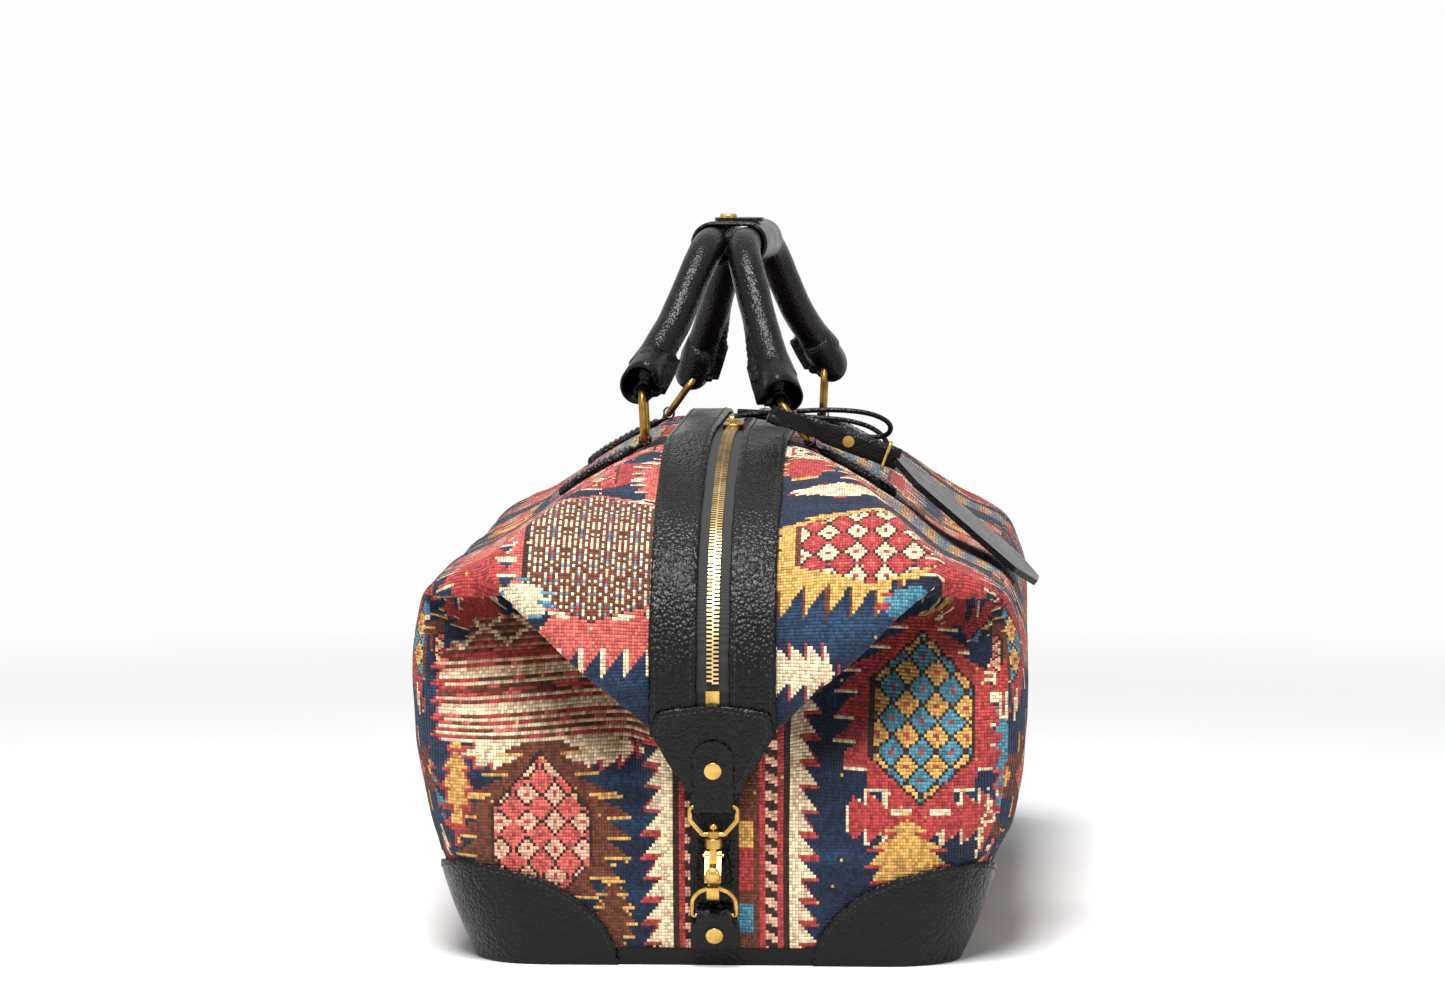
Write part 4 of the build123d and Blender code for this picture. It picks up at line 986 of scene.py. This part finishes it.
thread = bmesh.new()
for name in SEWN:
    sew(thread, name)
thread_mesh = bpy.data.meshes.new("trim_stitches")
thread.to_mesh(thread_mesh)
thread.free()
link("trim_stitches", thread_mesh, THREAD, "bag")

# Zip teeth: real ones are this fine, in two rows that reach past each other in the middle
TEETH_PITCH = 0.0022
TEETH_SIZE = (0.0011, 0.0034, 0.0016)
TEETH_END = radians(93)
TEETH_OFFSET = 0.40
CROWN_LEVEL = 0.0003
droop_length = DROOP_RADIUS * DROOP


def on_ridge(distance):
    """Place on the ridge that far from its middle, and the angle that the ridge has fallen there."""
    side = 1 if distance >= 0 else -1
    length = abs(distance)
    if length <= FLAT_HALF:
        return Vector((distance, 0, RIDGE_HEIGHT + CROWN_LEVEL)), 0.0
    if length <= FLAT_HALF + droop_length:
        angle = (length - FLAT_HALF) / DROOP_RADIUS
        x, z, radius = droop_x, droop_z, DROOP_RADIUS
    else:
        angle = DROOP + (length - FLAT_HALF - droop_length) / WING_RADIUS
        x, z, radius = wing_x, wing_z, WING_RADIUS
    reach = radius + CROWN_LEVEL
    return Vector((side * (x + reach * sin(angle)), 0, z + reach * cos(angle))), side * angle


def teeth_row(name, side, shift):
    """One row of brass teeth from end to end of the zip."""
    shape = bmesh.new()
    half = FLAT_HALF + droop_length + WING_RADIUS * (TEETH_END - DROOP)
    for i in range(int(2 * half / TEETH_PITCH)):
        spot, angle = on_ridge(-half + (i + shift) * TEETH_PITCH)
        spot.y = side * TEETH_SIZE[1] * TEETH_OFFSET
        turn = Matrix.Rotation(angle, 4, "Y")
        size = Matrix.Diagonal((*TEETH_SIZE, 1))
        bmesh.ops.create_cube(shape, size=1.0, matrix=Matrix.Translation(spot) @ turn @ size)
    mesh = bpy.data.meshes.new(name)
    shape.to_mesh(mesh)
    shape.free()
    row = link(name + "_fine", mesh, ZIP_BRASS, "bag")
    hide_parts(name)


teeth_row("left_zip_teeth", -1, 0.25)
teeth_row("right_zip_teeth", 1, 0.75)

# Materials of the pieces that keep the plain form of the frame, some leather and cloth ones among them
NODE_FINISH = {
    LEATHER: ["base_panel", "near_clasp_loop", "far_clasp_loop", "near_keeper", "far_keeper"],
    HANDLE_LEATHER: ["wrap_strap_end", "luggage_tag"],
    ZIP_CLOTH: ["zip_tape"],
    BRASS: ["zip_stops", "near_zip_slider", "far_zip_slider",
            "near_zip_pull", "far_zip_pull", "near_bail", "far_bail", "near_hook", "far_hook",
            "near_gate", "far_gate", "near_clasp_ring", "far_clasp_ring", "clasp_rivets", "wrap_snap",
            "tag_buckle", "tag_rivet"],
    OLD_BRASS: ["near_left_ring", "near_right_ring", "far_left_ring", "far_right_ring"],
}
for material, names in NODE_FINISH.items():
    for name in names:
        nodes[name].data.materials.clear()
        nodes[name].data.materials.append(material)

# Laces: round leather cord from each zip pull, in mm
NEAR_LACE = [
    (59.0, 1.0, 266.2), (60.0, 13.0, 267.6), (62.0, 32.0, 269.0), (62.0, 54.0, 270.2),
    (61.0, 74.0, 268.4), (59.0, 85.0, 262.5), (56.0, 83.0, 255.6), (54.0, 70.0, 254.6),
    (53.0, 52.0, 258.6), (53.0, 34.0, 263.2), (54.0, 18.0, 264.8), (56.0, 8.0, 267.4),
]
FAR_LACE = [
    (18.0, 1.0, 266.2), (17.0, 12.0, 266.0), (15.0, 27.0, 264.0), (13.0, 44.0, 262.6),
    (12.0, 60.0, 261.4), (12.0, 74.0, 257.4), (13.0, 82.0, 250.0), (13.0, 83.0, 243.0),
]
LACE_RADIUS = 0.0014


def lace(name, route, body):
    """One leather lace as a smooth curve with a round section."""
    curve = bpy.data.curves.new(name, "CURVE")
    curve.dimensions = "3D"
    curve.bevel_depth = LACE_RADIUS
    curve.bevel_resolution = 3
    curve.resolution_u = 12
    curve.use_fill_caps = True
    spline = curve.splines.new("NURBS")
    spline.points.add(len(route) - 1)
    for knot, spot in zip(spline.points, route):
        knot.co = (*(c * MM for c in spot), 1.0)
    spline.order_u = 3
    spline.use_endpoint_u = True
    curve.materials.append(HANDLE_LEATHER)
    obj = bpy.data.objects.new(name + "_cord", curve)
    scene.collection.objects.link(obj)
    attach(obj, body)
    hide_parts(name)


lace("near_lace", NEAR_LACE, "near_pull")
lace("far_lace", FAR_LACE, "far_pull")

# Floor, backdrop and light
FLOOR_NEAR = 0.45
FLOOR_FAR = 1.5


def seen_share(tree):
    """1 for rays from the eye, straight or by a mirror or through glass, and 0 for the soft light."""
    straight = add(tree, "LightPath", out="Is Camera Ray")
    mirrored = add(tree, "LightPath", out="Is Glossy Ray")
    through = add(tree, "LightPath", out="Is Transmission Ray")
    seen = add(tree, "Math", straight, mirrored, operation="MAXIMUM")
    return add(tree, "Math", seen, through, operation="MAXIMUM")


def pale_material():
    """Matt white paper sweep: it keeps the soft shadow near the bag and turns to plain white away from it."""
    material, tree = blank("white paper sweep")
    paper = add(tree, "BsdfDiffuse", "#f4f4f4")
    glow = add(tree, "Emission", "#fdfdfd", 1.0)
    place = add(tree, "TexCoord", out=3)
    reach = add(tree, "VectorMath", place, operation="LENGTH", out=1)
    away = add(tree, "MapRange", reach, feed={1: FLOOR_NEAR, 2: FLOOR_FAR, 3: 0.0, 4: 1.0})
    share = add(tree, "Math", away, seen_share(tree), operation="MULTIPLY")
    surface = add(tree, "MixShader", share, paper, glow)
    add(tree, "OutputMaterial", surface)
    return material


bpy.ops.mesh.primitive_plane_add(size=30.0, location=(0, 0, 0))
floor = bpy.context.object
floor.name = "floor"
floor.data.materials.append(pale_material())

world = bpy.data.worlds.new("studio")
scene.world = world
world.use_nodes = True
world.node_tree.nodes.clear()
plain = add(world.node_tree, "Background", "#ffffff", 0.30)
seen = add(world.node_tree, "Background", "#fdfdfd", 1.0)
sky = add(world.node_tree, "MixShader", seen_share(world.node_tree), plain, seen)
add(world.node_tree, "OutputWorld", sky)


def softbox(name, spot, aim, size, power):
    """A large soft lamp at spot that faces aim."""
    lamp = bpy.data.lights.new(name, "AREA")
    lamp.shape = "SQUARE"
    lamp.size = size
    lamp.energy = power
    obj = bpy.data.objects.new(name, lamp)
    scene.collection.objects.link(obj)
    obj.location = spot
    obj.rotation_mode = "QUATERNION"
    obj.rotation_quaternion = (Vector(aim) - Vector(spot)).to_track_quat("-Z", "Y")


softbox("top_softbox", (0.7, -0.10, 1.7), (0.15, 0, 0.2), 0.7, 42)
softbox("front_softbox", (1.9, -0.15, 1.8), (0.2, 0, 0.15), 0.7, 34)
softbox("left_softbox", (1.5, -1.8, 0.8), (0.1, 0, 0.2), 0.8, 5)
softbox("right_softbox", (1.8, 1.6, 0.8), (0.1, 0, 0.15), 0.8, 6)
